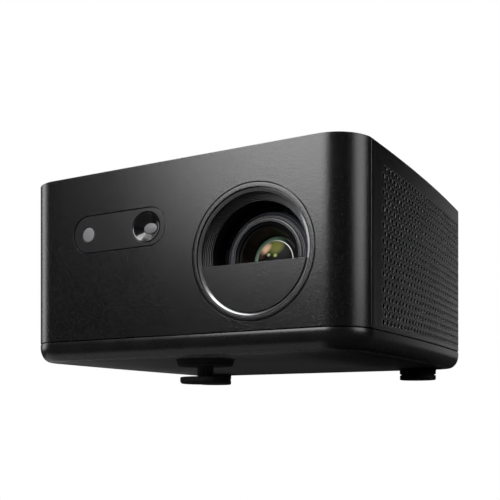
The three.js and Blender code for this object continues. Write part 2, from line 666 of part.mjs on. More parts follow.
const cameraEye = () => pill(EYE_LENGTH - GAP, EYE_HEIGHT - GAP, 4.4, 7.6).translate([POCKET_OUT, 0, 0]);
const receiverEye = () => disc(DOT_R, 0.3, 5, "y", SMALL_ROUND).translate([DOT_OUT, 0, 0]);
const sensorBoard = () => block(-34, 8.5, -11, 34, 10.1, 11);

// ---------------------------------------------------------------- light engine

const ENGINE_LENGTH = 56;
const ENGINE = {
  x0: LENS_X - 45.35,
  x1: LENS_X + 32.65,
  y0: FRONT_Y + BARREL_END + GAP,
  y1: FRONT_Y + BARREL_END + GAP + ENGINE_LENGTH,
  z0: INNER_Z + 8,
  z1: TOP_Z - 22,
};

function engineHousing() {
  const { x0, x1, y0, y1, z0, z1 } = ENGINE;
  const wall = 2.5;
  const outer = block(x0, y0, z0, x1, y1, z1);
  const hollow = block(x0 + wall, y0 + wall, z0 - 1, x1 - wall, y1 - wall, z1 - wall);
  const lensPort = disc(REAR_GLASS_R, y0 - 1, y0 + wall + 1, "y", 24).translate([LENS_X, 0, LENS_Z]);
  const chipPort = block(LENS_X - 12, y1 - wall - 1, LENS_Z - 9, LENS_X + 12, y1 + 1, LENS_Z + 9);
  const ledPorts = LED_PLACES.map(([y, z]) => disc(5, x0 - 1, x0 + wall + 1, "x", 12).translate([0, y, z]));
  return cut(outer, hollow, lensPort, chipPort, ...ledPorts);
}

function engineLid() {
  const { x0, x1, y0, y1, z0 } = ENGINE;
  return block(x0, y0, z0 - GAP - 2, x1, y1, z0 - GAP);
}

// Three lamps up the side of the light engine.
const LED_PLACES = [0, 1, 2].map((i) => [ENGINE.y0 + 14 + 18 * i, LENS_Z + 12 * (i - 1)]);

function ledModule([y, z]) {
  const x = ENGINE.x0 - GAP;
  const plate = block(x - 1.6, y - 8, z - 5.6, x, y + 8, z + 5.6);
  const dome = disc(3.4, x - 0.5, x + 2.2, "x", 12).translate([0, y, z]);
  return joined(plate, dome);
}

// A plate with upright fins standing off it towards -X.
function ledHeatSink() {
  const x = ENGINE.x0 - 1.6 - 2 * GAP;
  const plate = block(x - 5, ENGINE.y0 + 2, ENGINE.z0 + 4, x, ENGINE.y1 - 2, ENGINE.z1 - 4);
  const fins = [];
  const count = 12;
  for (let i = 0; i < count; i++) {
    const y = ENGINE.y0 + 2 + ((ENGINE.y1 - ENGINE.y0 - 5) * i) / (count - 1);
    fins.push(block(x - 50, y, ENGINE.z0 + 4, x - 4, y + 1.2, ENGINE.z1 - 4));
  }
  return joined(plate, ...fins);
}

function heatPipe(offset) {
  const x = ENGINE.x0 - 1.6 - 2 * GAP;
  const z = ENGINE.z1 - 4 + 3.3 + GAP;
  const y = (ENGINE.y0 + ENGINE.y1) / 2 + offset;
  const bend = new THREE.CatmullRomCurve3([
    new THREE.Vector3(x - 48, y, z), new THREE.Vector3(x - 20, y, z), new THREE.Vector3(x - 6, y, z + 4.4),
    new THREE.Vector3(x + 26, y, z + 4.4),
  ]);
  return rod(bend, 3, 10);
}

function chipBoard() {
  const y = ENGINE.y1 + GAP;
  const board = block(LENS_X - 30, y, LENS_Z - 22, LENS_X + 30, y + 1.6, LENS_Z + 22);
  const chip = block(LENS_X - 10, y - 3, LENS_Z - 7, LENS_X + 10, y + 0.5, LENS_Z + 7);
  return joined(board, chip);
}

function chipHeatSink() {
  const y = ENGINE.y1 + 2 * GAP + 1.6;
  const fins = [];
  for (let i = 0; i < 9; i++) {
    const x = LENS_X - 22 + 5.3 * i;
    fins.push(block(x, y + 2, LENS_Z - 18, x + 1.4, y + 17, LENS_Z + 18));
  }
  return joined(block(LENS_X - 22, y, LENS_Z - 18, LENS_X + 22, y + 3, LENS_Z + 18), ...fins);
}

// ---------------------------------------------------------------- fans, axis +X

function fanFrame({ size, depth, hub }) {
  const half = size / 2;
  const bore = half - 2.5;
  const square = block(-depth / 2, -half, -half, depth / 2, half, half);
  const body = cut(square, disc(bore, -depth, depth, "x", 24));
  const back = depth / 2 - 2;
  const plate = disc(hub, back, depth / 2, "x", 16);
  const strutWidth = 4;
  const struts = joined(
    block(back, -half + 1, -strutWidth / 2, depth / 2, half - 1, strutWidth / 2),
    block(back, -strutWidth / 2, -half + 1, depth / 2, strutWidth / 2, half - 1));
  const pin = disc(1.5, -depth / 4, depth / 2, "x", 8);
  return joined(body, plate, struts, pin);
}

function fanRotor({ size, depth, hub, blades }) {
  const front = -depth / 2 + 1;
  const back = depth / 2 - 3;
  const tip = size / 2 - 3.5;
  const vanes = [];
  for (let i = 0; i < blades; i++) {
    const vane = new THREE.BoxGeometry(1.4, tip * 0.52, tip - hub + 3, 1, 1, 1);
    vane.rotateZ((38 * Math.PI) / 180).translate(0, 0, (tip + hub - 3) / 2);
    vanes.push(solid(vane.translate((front + back) / 2, 0, 0)).rotate([(360 * i) / blades, 0, 0]));
  }
  const room = disc(tip, front, back, "x", 24);
  const cup = joined(disc(hub, front, back, "x", 20), ...vanes).intersect(room);
  return cut(cup, disc(1.8, front + 2, back + 1, "x", 8));
}

// ---------------------------------------------------------------- boards and sockets

const SOCKET_Y = REAR_Y - BAY_DEPTH + 1.5;
const SOCKETS = [
  { name: "mains_inlet", x: -70, width: 22, height: 16, depth: 22, mouth: [15, 9] },
  { name: "hdmi_socket_1", x: -24, width: 15, height: 6.4, depth: 12, mouth: [13.6, 4.6] },
  { name: "hdmi_socket_2", x: 0, width: 15, height: 6.4, depth: 12, mouth: [13.6, 4.6] },
  { name: "usb_socket", x: 24, width: 13.2, height: 6.2, depth: 14, mouth: [12, 4.8] },
  { name: "audio_socket", x: 46, width: 8, height: 7, depth: 12, mouth: [4.6, 4.6] },
];
const BOARD_THICKNESS = 1.6;
const SOCKET_LIFT = BOARD_THICKNESS;
const PIN_OUT = 4.3; // each mains pin from the middle of the inlet

const MAIN_BOARD = { x0: -50, x1: 78, y0: REAR_Y - 46.3, y1: REAR_Y - BAY_DEPTH - WALL - 1 };
const POWER_BOARD = { x0: -WIDTH / 2 + 32, x1: -18, y0: FRONT_Y + 28.3, y1: FRONT_Y + 82.3 };
const BOARD_POSTS = [
  [MAIN_BOARD.x0 + 4, MAIN_BOARD.y0 + 4], [MAIN_BOARD.x1 - 4, MAIN_BOARD.y0 + 4],
  [POWER_BOARD.x0 + 4, POWER_BOARD.y0 + 4], [POWER_BOARD.x1 - 4, POWER_BOARD.y1 - 4],
];

// A metal or plastic shell round a mouth that opens to +Y, with a contact tongue left inside.
function socket({ name, x, width, height, depth, mouth }) {
  const z0 = BOARD_Z + SOCKET_LIFT + GAP;
  const middle = z0 + height / 2;
  const back = SOCKET_Y - depth + 2;
  const [halfWide, halfHigh] = [mouth[0] / 2, mouth[1] / 2];
  const body = block(x - width / 2, SOCKET_Y - depth, z0, x + width / 2, SOCKET_Y, z0 + height);
  const mouthEnd = [x + halfWide, SOCKET_Y + PAST, middle + halfHigh];
  const shell = cut(body, block(x - halfWide, back + 1, middle - halfHigh, ...mouthEnd));
  if (name === "audio_socket") return shell;
  if (name === "mains_inlet") {
    const pin = disc(1.2, back, SOCKET_Y - 3, "y", 10);
    return joined(shell, pin.translate([x - PIN_OUT, 0, middle]), pin.translate([x + PIN_OUT, 0, middle]));
  }
  const tongue = halfWide - 1.2;
  return joined(shell, block(x - tongue, back, middle - 0.5, x + tongue, SOCKET_Y - 2, middle + 0.5));
}

function mainBoard() {
  const { x0, x1, y0, y1 } = MAIN_BOARD;
  const board = block(x0, y0, BOARD_Z, x1, y1, BOARD_Z + BOARD_THICKNESS);
  const processor = block(x0 + 40, y0 + 6, BOARD_Z + 1, x0 + 58, y0 + 20, BOARD_Z + 3.6);
  const memory = block(x0 + 66, y0 + 8, BOARD_Z + 1, x0 + 76, y0 + 18, BOARD_Z + 2.8);
  return joined(board, processor, memory);
}

function powerBoard() {
  const { x0, x1, y0, y1 } = POWER_BOARD;
  const board = block(x0, y0, BOARD_Z, x1, y1, BOARD_Z + BOARD_THICKNESS);
  const transformer = block(x0 + 36, y0 + 14, BOARD_Z + 1, x0 + 60, y0 + 38, BOARD_Z + 20);
  const capacitor = disc(9, BOARD_Z + 1, BOARD_Z + 28, "z", 16).translate([x0 + 18, y0 + 18, 0]);
  const choke = disc(7, BOARD_Z + 1, BOARD_Z + 14, "z", 12).translate([x0 + 18, y0 + 42, 0]);
  return joined(board, transformer, capacitor, choke);
}

// The flat cable from the main board up to the imaging chip's board.
function chipCable() {
  const width = 20;
  const near = ENGINE.y1 + 2 * GAP + BOARD_THICKNESS;
  const y = near + 4;
  const far = Math.max(MAIN_BOARD.y0 + 6.2, y + 4);
  const low = BOARD_Z + BOARD_THICKNESS + GAP;
  const high = LENS_Z - 20;
  const route = new THREE.Shape();
  route.moveTo(far, low);
  route.lineTo(far, low + 0.5);
  route.lineTo(y + 2, low + 6);
  route.lineTo(near + 0.5, high - 4);
  route.lineTo(near + 0.5, high);
  route.lineTo(near, high);
  route.lineTo(near, high - 4.2);
  route.lineTo(y + 1.6, low + 5.4);
  const settings = { depth: width, bevelEnabled: false };
  const geometry = new THREE.ExtrudeGeometry(route, settings).rotateX(Math.PI / 2).rotateZ(Math.PI / 2);
  return solid(geometry.translate(LENS_X - width / 2, 0, 0));
}

// ---------------------------------------------------------------- speakers

const SPEAKER = { length: 50, height: 62, width: 18, y: FRONT_Y + 56.3, z: INNER_Z + 14 };

function speakerBox(side) {
  const outer = WIDTH / 2 - 9;
  const x0 = side > 0 ? outer - SPEAKER.width : -outer;
  const x1 = x0 + SPEAKER.width;
  const y0 = SPEAKER.y - SPEAKER.length / 2;
  const box = block(x0, y0, SPEAKER.z, x1, y0 + SPEAKER.length, SPEAKER.z + SPEAKER.height);
  const pocketFrom = side > 0 ? x1 - 12 : x0 - 1;
  const pocket = disc(19, pocketFrom, pocketFrom + 13, "x", 24);
  return cut(box, pocket.translate([0, SPEAKER.y, SPEAKER.z + SPEAKER.height / 2]));
}

// A speaker driver: surround, cone and magnet, facing out through the grille.
function speakerDriver(side) {
  const face = WIDTH / 2 - 9;
  const profile = [[0, -5], [7, -6], [15, -1.5], [18.5, -1.5], [18.5, -3.5], [12, -8], [12, -11], [0, -11]];
  const driver = turned(profile.map(([r, along]) => [r, along + face]), "x", 24);
  const facing = side > 0 ? driver : driver.mirror([1, 0, 0]);
  return facing.translate([0, SPEAKER.y, SPEAKER.z + SPEAKER.height / 2]);
}

// ---------------------------------------------------------------- the whole projector

const projector = new THREE.Group();
projector.name = "home_projector";

projector.add(
  mesh("front_cover", frontCover(), FINISH.shell()),
  mesh("top_cover", topCover(), FINISH.shell()),
  mesh("side_grille_right", sideGrille(1), FINISH.shell()),
  mesh("side_grille_left", sideGrille(-1), FINISH.shell()),
  mesh("rear_cover", rearCover(), FINISH.shell()),
  mesh("base_tray", baseTray(), FINISH.base()),
  mesh("bottom_plate", bottomPlate(), FINISH.plate()),
  mesh("power_button", powerButton(), FINISH.base()),
  mesh("power_button_spring", buttonSpring(), FINISH.metal()),
  mesh("front_foot_stem", footStem(), FINISH.inner()),
  mesh("front_foot_pad", footPad(), FINISH.rubber()),
  mesh("rear_foot_right", rearFootPad(1), FINISH.rubber()),
  mesh("rear_foot_left", rearFootPad(-1), FINISH.rubber()),
  ...SCREW_PLACES.map((place, i) => mesh("base_screw_" + (i + 1), baseScrew(place), FINISH.metal())),
);

projector.add(
  group(LENS_X, FRONT_Y, LENS_Z,
    mesh("lens_trim_ring", trimRing(), FINISH.shell()),
    mesh("lens_baffle", cut(baffle(), shieldPlate(GAP)), FINISH.inner()),
    mesh("lens_shield_plate", shieldPlate(), FINISH.shell()),
    mesh("lens_dust_seal", dustSeal(), FINISH.rubber()),
    mesh("front_lens_cell", frontCell(), FINISH.barrel()),
    mesh("front_lens_element", frontElement(), FINISH.glass()),
    mesh("lens_barrel", barrel(), FINISH.barrel()),
    mesh("rear_lens_element", rearElement(), FINISH.glass()),
    mesh("focus_ring", focusRing(), FINISH.nylon()),
    mesh("focus_pinion", focusPinion(), FINISH.nylon()),
    mesh("focus_motor", focusMotor(), FINISH.metal()),
  ),
  group(...SENSOR_PLACE,
    mesh("sensor_window", sensorWindow(), FINISH.window()),
    mesh("camera_bezel", cameraBezel(), FINISH.base()),
    mesh("camera_eye", cameraEye(), FINISH.grey()),
    mesh("receiver_eye", receiverEye(), FINISH.grey()),
    mesh("sensor_board", sensorBoard(), FINISH.board()),
  ),
);

projector.add(
  mesh("light_engine_housing", engineHousing(), FINISH.metal()),
  mesh("light_engine_lid", engineLid(), FINISH.metal()),
  mesh("lamp_module_red", ledModule(LED_PLACES[0]), FINISH.board()),
  mesh("lamp_module_green", ledModule(LED_PLACES[1]), FINISH.board()),
  mesh("lamp_module_blue", ledModule(LED_PLACES[2]), FINISH.board()),
  mesh("lamp_heat_sink", ledHeatSink(), FINISH.metal()),
  mesh("heat_pipe_front", heatPipe(-10), FINISH.copper()),
  mesh("heat_pipe_rear", heatPipe(10), FINISH.copper()),
  mesh("imaging_chip_board", chipBoard(), FINISH.board()),
  mesh("imaging_chip_heat_sink", chipHeatSink(), FINISH.metal()),
  mesh("main_board", mainBoard(), FINISH.board()),
  mesh("power_supply_board", powerBoard(), FINISH.board()),
  mesh("chip_ribbon_cable", chipCable(), FINISH.cable()),
  ...SOCKETS.map((place) => mesh(place.name, socket(place), FINISH.socket())),
  mesh("speaker_box_right", speakerBox(1), FINISH.inner()),
  mesh("speaker_box_left", speakerBox(-1), FINISH.inner()),
  mesh("speaker_driver_right", speakerDriver(1), FINISH.base()),
  mesh("speaker_driver_left", speakerDriver(-1), FINISH.base()),
);

for (const [label, fan, flip] of [["exhaust", EXHAUST_FAN, 180], ["intake", INTAKE_FAN, 0]]) {
  const turnedFan = (made) => made.rotate([0, 0, flip]);
  projector.add(
    group(fan.x, fan.y, UNDERSIDE_Z + fan.height,
      mesh(label + "_fan_frame", turnedFan(fanFrame(fan)), FINISH.inner()),
      mesh(label + "_fan_rotor", turnedFan(fanRotor(fan)), FINISH.base()),
    ),
  );
}

export default projector;
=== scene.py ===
import json
from math import radians

import bmesh
import bpy
import numpy as np
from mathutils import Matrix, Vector


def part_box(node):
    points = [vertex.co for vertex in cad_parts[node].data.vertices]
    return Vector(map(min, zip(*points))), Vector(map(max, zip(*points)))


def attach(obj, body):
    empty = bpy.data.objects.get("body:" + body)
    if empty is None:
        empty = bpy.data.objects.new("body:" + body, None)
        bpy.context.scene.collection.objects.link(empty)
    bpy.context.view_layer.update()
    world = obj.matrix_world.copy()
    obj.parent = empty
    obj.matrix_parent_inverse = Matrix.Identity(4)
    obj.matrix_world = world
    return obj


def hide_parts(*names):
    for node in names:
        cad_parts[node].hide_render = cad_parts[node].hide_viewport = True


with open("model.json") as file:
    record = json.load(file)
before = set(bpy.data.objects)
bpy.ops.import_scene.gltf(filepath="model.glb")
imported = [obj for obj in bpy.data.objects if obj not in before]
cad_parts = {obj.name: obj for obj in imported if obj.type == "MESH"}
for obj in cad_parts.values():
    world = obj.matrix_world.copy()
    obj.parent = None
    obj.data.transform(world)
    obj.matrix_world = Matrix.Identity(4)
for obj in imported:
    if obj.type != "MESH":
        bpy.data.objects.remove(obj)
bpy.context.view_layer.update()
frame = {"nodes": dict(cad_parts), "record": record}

bl_info = {
    "name": "Home projector",
    "version": (1, 0, 0),
    "blender": (4, 5, 0),
    "location": "View3D > Sidebar > Projector",
    "description": "Builds the visible pieces of a home projector round its CAD frame",
    "category": "Add Mesh",
}

# ---------------------------------------------------------------- sizes, in millimetres

MM = 0.001
WIDTH, DEPTH = 240.0, 224.6
SIDE_BOW = 3.35
FRONT_CORNER_R, REAR_CORNER_R = 24.0, 22.0
FRONT_Y, REAR_Y = -DEPTH / 2, DEPTH / 2
WALL, GRILLE_WALL, GAP = 2.4, 2.0, 0.3
CORNER_STEPS, SIDE_STEPS, FACE_STEPS = 24, 40, 24
BAFFLE_FRONT, BAFFLE_STEP = 2.7, 1.05
RING_R = 39.4
WINDOW_LENGTH, WINDOW_WIDTH = 70.4, 23.4
EYE_X, RECEIVER_X = 21.2, -23.6  # from the window's middle
EYE_HOLE, RECEIVER_HOLE = (10.4, 9.5), (4.8, 4.8)  # half widths and half heights
BOSS_DROP = 4.2  # from the underside to the feet's bosses
STEM_HOLE_R, STEM_R = 5.7, 5.2
BUTTON_WELL, BUTTON_BORE_R = 13, 7.3
MERGE_DISTANCE = 2e-6  # metres
CREASE = 32  # degrees; sharper edges stay sharp
EDGE_STEPS = 2
CENTRE_POINT = 0.001  # radius of the tiny circle that closes a turned shape


def box_mm(node):
    """Lowest and highest corner of a CAD node in millimetres."""
    low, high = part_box(node)
    return np.array(low) / MM, np.array(high) / MM


SHELL_Z = box_mm("front_cover")[0][2]
TOP_Z = box_mm("front_cover")[1][2]
SEAM_Z = SHELL_Z - 0.6
UNDERSIDE_Z = box_mm("base_tray")[0][2]
SIDE_SEAM_Y = box_mm("front_cover")[1][1]
REAR_SEAM_X = box_mm("rear_cover")[1][0] + GAP
LENS_X, _, LENS_Z = sum(box_mm("lens_trim_ring")) / 2
PILL_X, _, PILL_Z = sum(box_mm("sensor_window")) / 2
PAD_TOP = box_mm("front_foot_pad")[1][2]
FRONT_FOOT = sum(box_mm("front_foot_pad"))[:2] / 2
BUTTON = sum(box_mm("power_button"))[:2] / 2
BOSS_Z = UNDERSIDE_Z - BOSS_DROP
LENS_CENTRE = (LENS_X, FRONT_Y, LENS_Z)

# ---------------------------------------------------------------- grids and meshes


def grid_faces(rows, columns, wrap=False):
    """Quads between neighbouring points of a grid; wrap joins the last column to the first."""
    row = np.arange(rows - 1)[:, None]
    column = np.arange(columns if wrap else columns - 1)[None, :]
    here = row * columns + column
    beside = row * columns + (column + 1) % columns
    return np.stack([here, beside, beside + columns, here + columns], -1).reshape(-1, 4)


def sheet(points, wrap=False, flip=False):
    """A grid of points, rows by columns, as its vertices and quads."""
    points = np.asarray(points, float)
    faces = grid_faces(points.shape[0], points.shape[1], wrap)
    return points.reshape(-1, 3), faces[:, ::-1] if flip else faces


def copies(block, faces):
    """Many copies of one small grid: block is copies by points by 3, and each copy has the same faces."""
    count, size = block.shape[:2]
    shifted = faces[None] + (np.arange(count) * size)[:, None, None]
    return block.reshape(-1, 3), shifted.reshape(-1, 4)


def mesh_of(name, sheets, turn_out=True):
    """One mesh from several grids, in metres: doubles merged and, on closed shells, faces turned outwards."""
    vertices, faces, start = [], [], 0
    for points, quads in sheets:
        vertices.append(points * MM)
        faces.append(quads + start)
        start += len(points)
    mesh = bpy.data.meshes.new(name)
    mesh.from_pydata(np.concatenate(vertices), [], np.concatenate(faces).tolist())
    work = bmesh.new()
    work.from_mesh(mesh)
    bmesh.ops.remove_doubles(work, verts=work.verts, dist=MERGE_DISTANCE)
    if turn_out:
        bmesh.ops.recalc_face_normals(work, faces=work.faces)
    work.to_mesh(mesh)
    work.free()
    return mesh


def cleaned_copy(node):
    """A CAD node's mesh with its loose triangles merged and its flat faces made whole."""
    mesh = frame["nodes"][node].data.copy()
    mesh.materials.clear()
    work = bmesh.new()
    work.from_mesh(mesh)
    bmesh.ops.remove_doubles(work, verts=work.verts, dist=MERGE_DISTANCE)
    bmesh.ops.dissolve_limit(work, angle_limit=radians(1.0), verts=work.verts, edges=work.edges)
    work.to_mesh(mesh)
    work.free()
    for attribute in list(mesh.attributes):
        if attribute.name == "custom_normal":
            mesh.attributes.remove(attribute)
    return mesh


def settle(obj, wall, soften):
    """Gives obj its wall and rounded edges and keeps the result as its mesh, smooth up to the crease."""
    if wall:
        thick = obj.modifiers.new("wall", "SOLIDIFY")
        thick.thickness = wall * MM
        thick.offset = -1
        thick.use_even_offset = True
    if soften:
        edge = obj.modifiers.new("edge", "BEVEL")
        edge.width = soften * MM
        edge.segments = EDGE_STEPS
        edge.limit_method = "ANGLE"
        edge.angle_limit = radians(CREASE)
        edge.harden_normals = True
        obj.data.shade_smooth()
    if wall or soften:
        bpy.context.view_layer.update()
        graph = bpy.context.evaluated_depsgraph_get()
        done = bpy.data.meshes.new_from_object(obj.evaluated_get(graph))
        obj.modifiers.clear()
        obj.data = done
    if not soften:
        obj.data.shade_smooth()
        obj.data.set_sharp_from_angle(angle=radians(CREASE))


def place(name, mesh, slot, node, body="root", finish=None, wall=0, soften=0):
    """Puts a mesh in the scene as the piece that stands for a CAD node, in its slot's finish by default."""
    obj = bpy.data.objects.new(name, mesh)
    bpy.context.scene.collection.objects.link(obj)
    settle(obj, wall, soften)
    obj.data.materials.clear()
    obj.data.materials.append(FINISHES[finish or slot])
    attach(obj, body)
    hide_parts(node)


def build(name, sheets, slot, node, closed=True, **details):
    """Makes one piece from its grids; details go to place."""
    place(name, mesh_of(name, sheets, closed), slot, node, **details)


def rounded(profile, steps=4, closed=False):
    """A profile with eased corners. Each point is (a, b, radius), and its corner becomes a quadratic curve
    that starts and ends one radius from it, or half way to its neighbour where that is nearer."""
    points = [np.array(p[:2], float) for p in profile]
    radii = [p[2] if len(p) > 2 else 0 for p in profile]
    out, last = [], len(points)
    for i, (point, radius) in enumerate(zip(points, radii)):
        ends = not closed and i in (0, last - 1)
        if ends or radius == 0:
            out.append(point)
            continue
        before, after = points[i - 1], points[(i + 1) % last]
        start = point + (before - point) * min(radius / np.linalg.norm(before - point), 0.5)
        end = point + (after - point) * min(radius / np.linalg.norm(after - point), 0.5)
        t = np.linspace(0, 1, steps + 1)[:, None]
        out.extend((1 - t) ** 2 * start + 2 * t * (1 - t) * point + t**2 * end)
    if closed:
        out.append(out[0])
    return np.array(out)


def turned(profile, centre, axis="y", count=128, ripple=None):
    """A profile of (radius, distance along the axis) turned round +Y or +Z through centre.
    ripple(angle, along) adds to the radius."""
    profile = np.asarray(profile, float)
    angle = np.linspace(0, 2 * np.pi, count, endpoint=False)[None, :]
    radius, along = profile[:, :1], profile[:, 1:2]
    if ripple is not None:
        radius = radius + ripple(angle, along) * (radius > 0)
    one, other = radius * np.cos(angle), radius * np.sin(angle)
    along = along + 0 * angle
    if axis == "y":
        points = np.stack([centre[0] + one, centre[1] + along, centre[2] + other], -1)
    else:
        points = np.stack([centre[0] + one, centre[1] + other, centre[2] + along], -1)
    return sheet(points, wrap=True)


# ---------------------------------------------------------------- the body's plan


def side_x(y):
    """The side wall's half width at y: half the width less a parabola that is SIDE_BOW deep at the ends."""
    return WIDTH / 2 - SIDE_BOW * (2 * y / DEPTH) ** 2


def plan_half(inset=0.0):
    """The +X half of the plan moved in by inset: straight front, arc, bowed side, arc, straight rear."""

    def corner(radius, y, front):
        lean = np.arctan(8 * SIDE_BOW * abs(y) / DEPTH**2)
        centre_x = side_x(y) - radius * np.cos(lean)
        ends = (-np.pi / 2, -lean) if front else (lean, np.pi / 2)
        angle = np.linspace(*ends, CORNER_STEPS + 1)
        reach = radius - inset
        return np.stack([centre_x + reach * np.cos(angle), y + reach * np.sin(angle)], -1)

    front = corner(FRONT_CORNER_R, FRONT_Y + FRONT_CORNER_R, True)
    rear = corner(REAR_CORNER_R, REAR_Y - REAR_CORNER_R, False)
    y = np.linspace(front[-1, 1], rear[0, 1], SIDE_STEPS + 1)[1:-1]
    side = np.stack([side_x(y) - inset, y], -1)
    near = np.linspace([0, FRONT_Y + inset], front[0], FACE_STEPS + 1)[:-1]
    far = np.linspace(rear[-1], [0, REAR_Y - inset], FACE_STEPS + 1)[1:]
    return np.concatenate([near, front, side, rear, far])


def plan(inset=0.0):
    """The whole plan as a closed loop of points."""
    right = plan_half(inset)
    left = right[-2:0:-1] * [-1, 1]
    return np.concatenate([right, left])


def ring(inset, z):
    """The plan moved in by inset, at height z."""
    loop = plan(inset)
    return np.column_stack([loop, np.full(len(loop), z)])


def ring_round(centre, radius, z):
    """A circle round centre with one point in the direction of each point of the plan."""
    away = plan(0) - centre
    angle = np.arctan2(away[:, 1], away[:, 0])
    x, y = centre[0] + radius * np.cos(angle), centre[1] + radius * np.sin(angle)
    return np.column_stack([x, y, np.full(len(away), z)])


class WallPath:
    """The outer wall's plan on the +X side: distance from the front's middle, and depth into the wall."""

    def __init__(self):
        self.points = plan_half(0)
        step = np.linalg.norm(np.diff(self.points, axis=0), axis=1)
        self.length = np.concatenate([[0], np.cumsum(step)])
        tangent = np.gradient(self.points, self.length, axis=0)
        tangent /= np.linalg.norm(tangent, axis=1)[:, None]
        self.normal = np.stack([tangent[:, 1], -tangent[:, 0]], -1)

    def at(self, distance, depth, z):
        """Points at distances along the wall, depths into it and heights, broadcast together."""
        distance, depth, z = np.broadcast_arrays(distance, depth, z)
        place_xy = [np.interp(distance, self.length, self.points[:, i]) for i in (0, 1)]
        out = [np.interp(distance, self.length, self.normal[:, i]) for i in (0, 1)]
        return np.stack([place_xy[0] - depth * out[0], place_xy[1] - depth * out[1], z], -1)

    def where_y(self, y):
        """Distance along the wall to y."""
        side = slice(FACE_STEPS, -FACE_STEPS)
        return float(np.interp(y, self.points[side, 1], self.length[side]))

    def where_rear_x(self, x):
        """Distance along the wall to x on its rear part."""
        half = len(self.points) - FACE_STEPS - CORNER_STEPS
        return float(np.interp(-x, -self.points[half:, 0], self.length[half:]))


PATH = WallPath()

# ---------------------------------------------------------------- shader maths


class Wire:
    """A shader socket; arithmetic on it adds Math nodes."""

    def __init__(self, finish, socket):
        self.finish, self.socket = finish, socket

    def __add__(self, other):
        return self.finish.math("ADD", self, other)

    __radd__ = __add__

    def __sub__(self, other):
        return self.finish.math("SUBTRACT", self, other)

    def __rsub__(self, other):
        return self.finish.math("SUBTRACT", other, self)

    def __mul__(self, other):
        return self.finish.math("MULTIPLY", self, other)

    __rmul__ = __mul__

    def __truediv__(self, other):
        return self.finish.math("DIVIDE", self, other)

    def __pow__(self, other):
        return self.finish.math("POWER", self, other)

    def clip(self, low, high):
        """0 below low, 1 above high and a smooth step between."""
        settings = {"interpolation_type": "SMOOTHSTEP", "clamp": True}
        inputs = {"Value": self, "From Min": low, "From Max": high}
        return self.finish.node("ShaderNodeMapRange", settings, inputs)

    def band(self, low, high, soft):
        """1 between low and high, with soft edges."""
        return self.clip(low - soft, low) * (1 - self.clip(high, high + soft))


class Finish:
    """A material, or the world, and its node tree."""

    def __init__(self, owner):
        owner.use_nodes = True
        self.owner, self.tree = owner, owner.node_tree
        self.tree.nodes.clear()

    def node(self, kind, settings=None, inputs=None, output=0):
        """Adds one node: its settings, then its sockets' values or wires. Gives one output as a wire."""
        made = self.tree.nodes.new(kind)
        for key, value in (settings or {}).items():
            setattr(made, key, value)
        for key, value in (inputs or {}).items():
            socket = made.inputs[key]
            if isinstance(value, Wire):
                self.tree.links.new(value.socket, socket)
            else:
                socket.default_value = value
        return Wire(self, made.outputs[output]) if len(made.outputs) else None

    def math(self, operation, *values):
        """One Math node."""
        return self.node("ShaderNodeMath", {"operation": operation}, dict(enumerate(values)))

    def noise(self, size, detail=2.0, stretch=None):
        """Noise on object coordinates with features of about size millimetres; stretch scales them first."""
        where = self.node("ShaderNodeTexCoord", output="Object")
        if stretch:
            where = self.node("ShaderNodeMapping", {}, {"Vector": where, "Scale": stretch})
        inputs = {"Vector": where, "Scale": 1 / (size * MM), "Detail": detail}
        return self.node("ShaderNodeTexNoise", {}, inputs)

    def axes(self):
        """Object coordinates as three wires, in millimetres."""
        where = self.node("ShaderNodeTexCoord", output="Object")
        split = self.node("ShaderNodeSeparateXYZ", {}, {0: where})
        outputs = split.socket.node.outputs
        return [Wire(self, outputs[i]) * (1 / MM) for i in range(3)]

    def mix(self, factor, one, other):
        """A colour between one and other."""
        made = self.node("ShaderNodeMix", {"data_type": "RGBA"}, {0: factor}, 2)
        mixer = made.socket.node
        for socket, value in ((mixer.inputs[6], one), (mixer.inputs[7], other)):
            if isinstance(value, Wire):
                self.tree.links.new(value.socket, socket)
            else:
                socket.default_value = (*value, 1)
        return made

    def bump(self, height, strength, distance):
        """A bumped normal; distance in millimetres."""
        inputs = {"Height": height, "Strength": strength, "Distance": distance * MM}
        return self.node("ShaderNodeBump", {}, inputs)

    def surface(self, **sockets):
        """The principled surface; a socket's name is written with underscores for spaces."""
        inputs = {}
        for key, value in sockets.items():
            name = key.replace("_", " ")
            if name.endswith("Color") and not isinstance(value, Wire):
                value = (*value, 1)
            inputs[name] = value
        shader = self.node("ShaderNodeBsdfPrincipled", {}, inputs)
        self.node("ShaderNodeOutputMaterial", {}, {"Surface": shader})
        return self.owner


def start(name):
    return Finish(bpy.data.materials.new(name))


def sand_paint(name, dark, light, rim=None, metal=0.30):
    """Sand-textured paint: fine grains that catch the light, with a slow drift in gloss. Where rim(finish)
    is 1 the paint is worn through to metal of that brightness, without grain."""
    finish = start(name)
    grain = finish.noise(0.80, 2)
    fleck = finish.noise(0.50, 1)
    cloud = finish.noise(30, 3)
    colour = finish.mix((grain * 0.6 + fleck * 0.4).clip(0.42, 0.66), dark, light)
    roughness = 0.20 + 0.04 * cloud + 0.04 * grain
    height = grain * 0.65 + fleck * 0.35
    grain_height = 0.13
    if rim is None:
        normal = finish.bump(height, 1.0, grain_height)
        return finish.surface(Base_Color=colour, Roughness=roughness, Normal=normal)
    bare = rim(finish)
    return finish.surface(
        Base_Color=finish.mix(bare, colour, (metal, metal, metal * 1.03)),
        Metallic=0.85 * bare,
        Roughness=roughness,
        Normal=finish.bump(height * (1 - bare), 1.0, grain_height),
    )


def ring_chamfer(finish):
    """1 on the chamfer inside the trim ring's flat band."""
    x, _, z = finish.axes()
    return 1 - (((x - LENS_X) ** 2 + (z - LENS_Z) ** 2) ** 0.5).clip(36.0, 36.04)


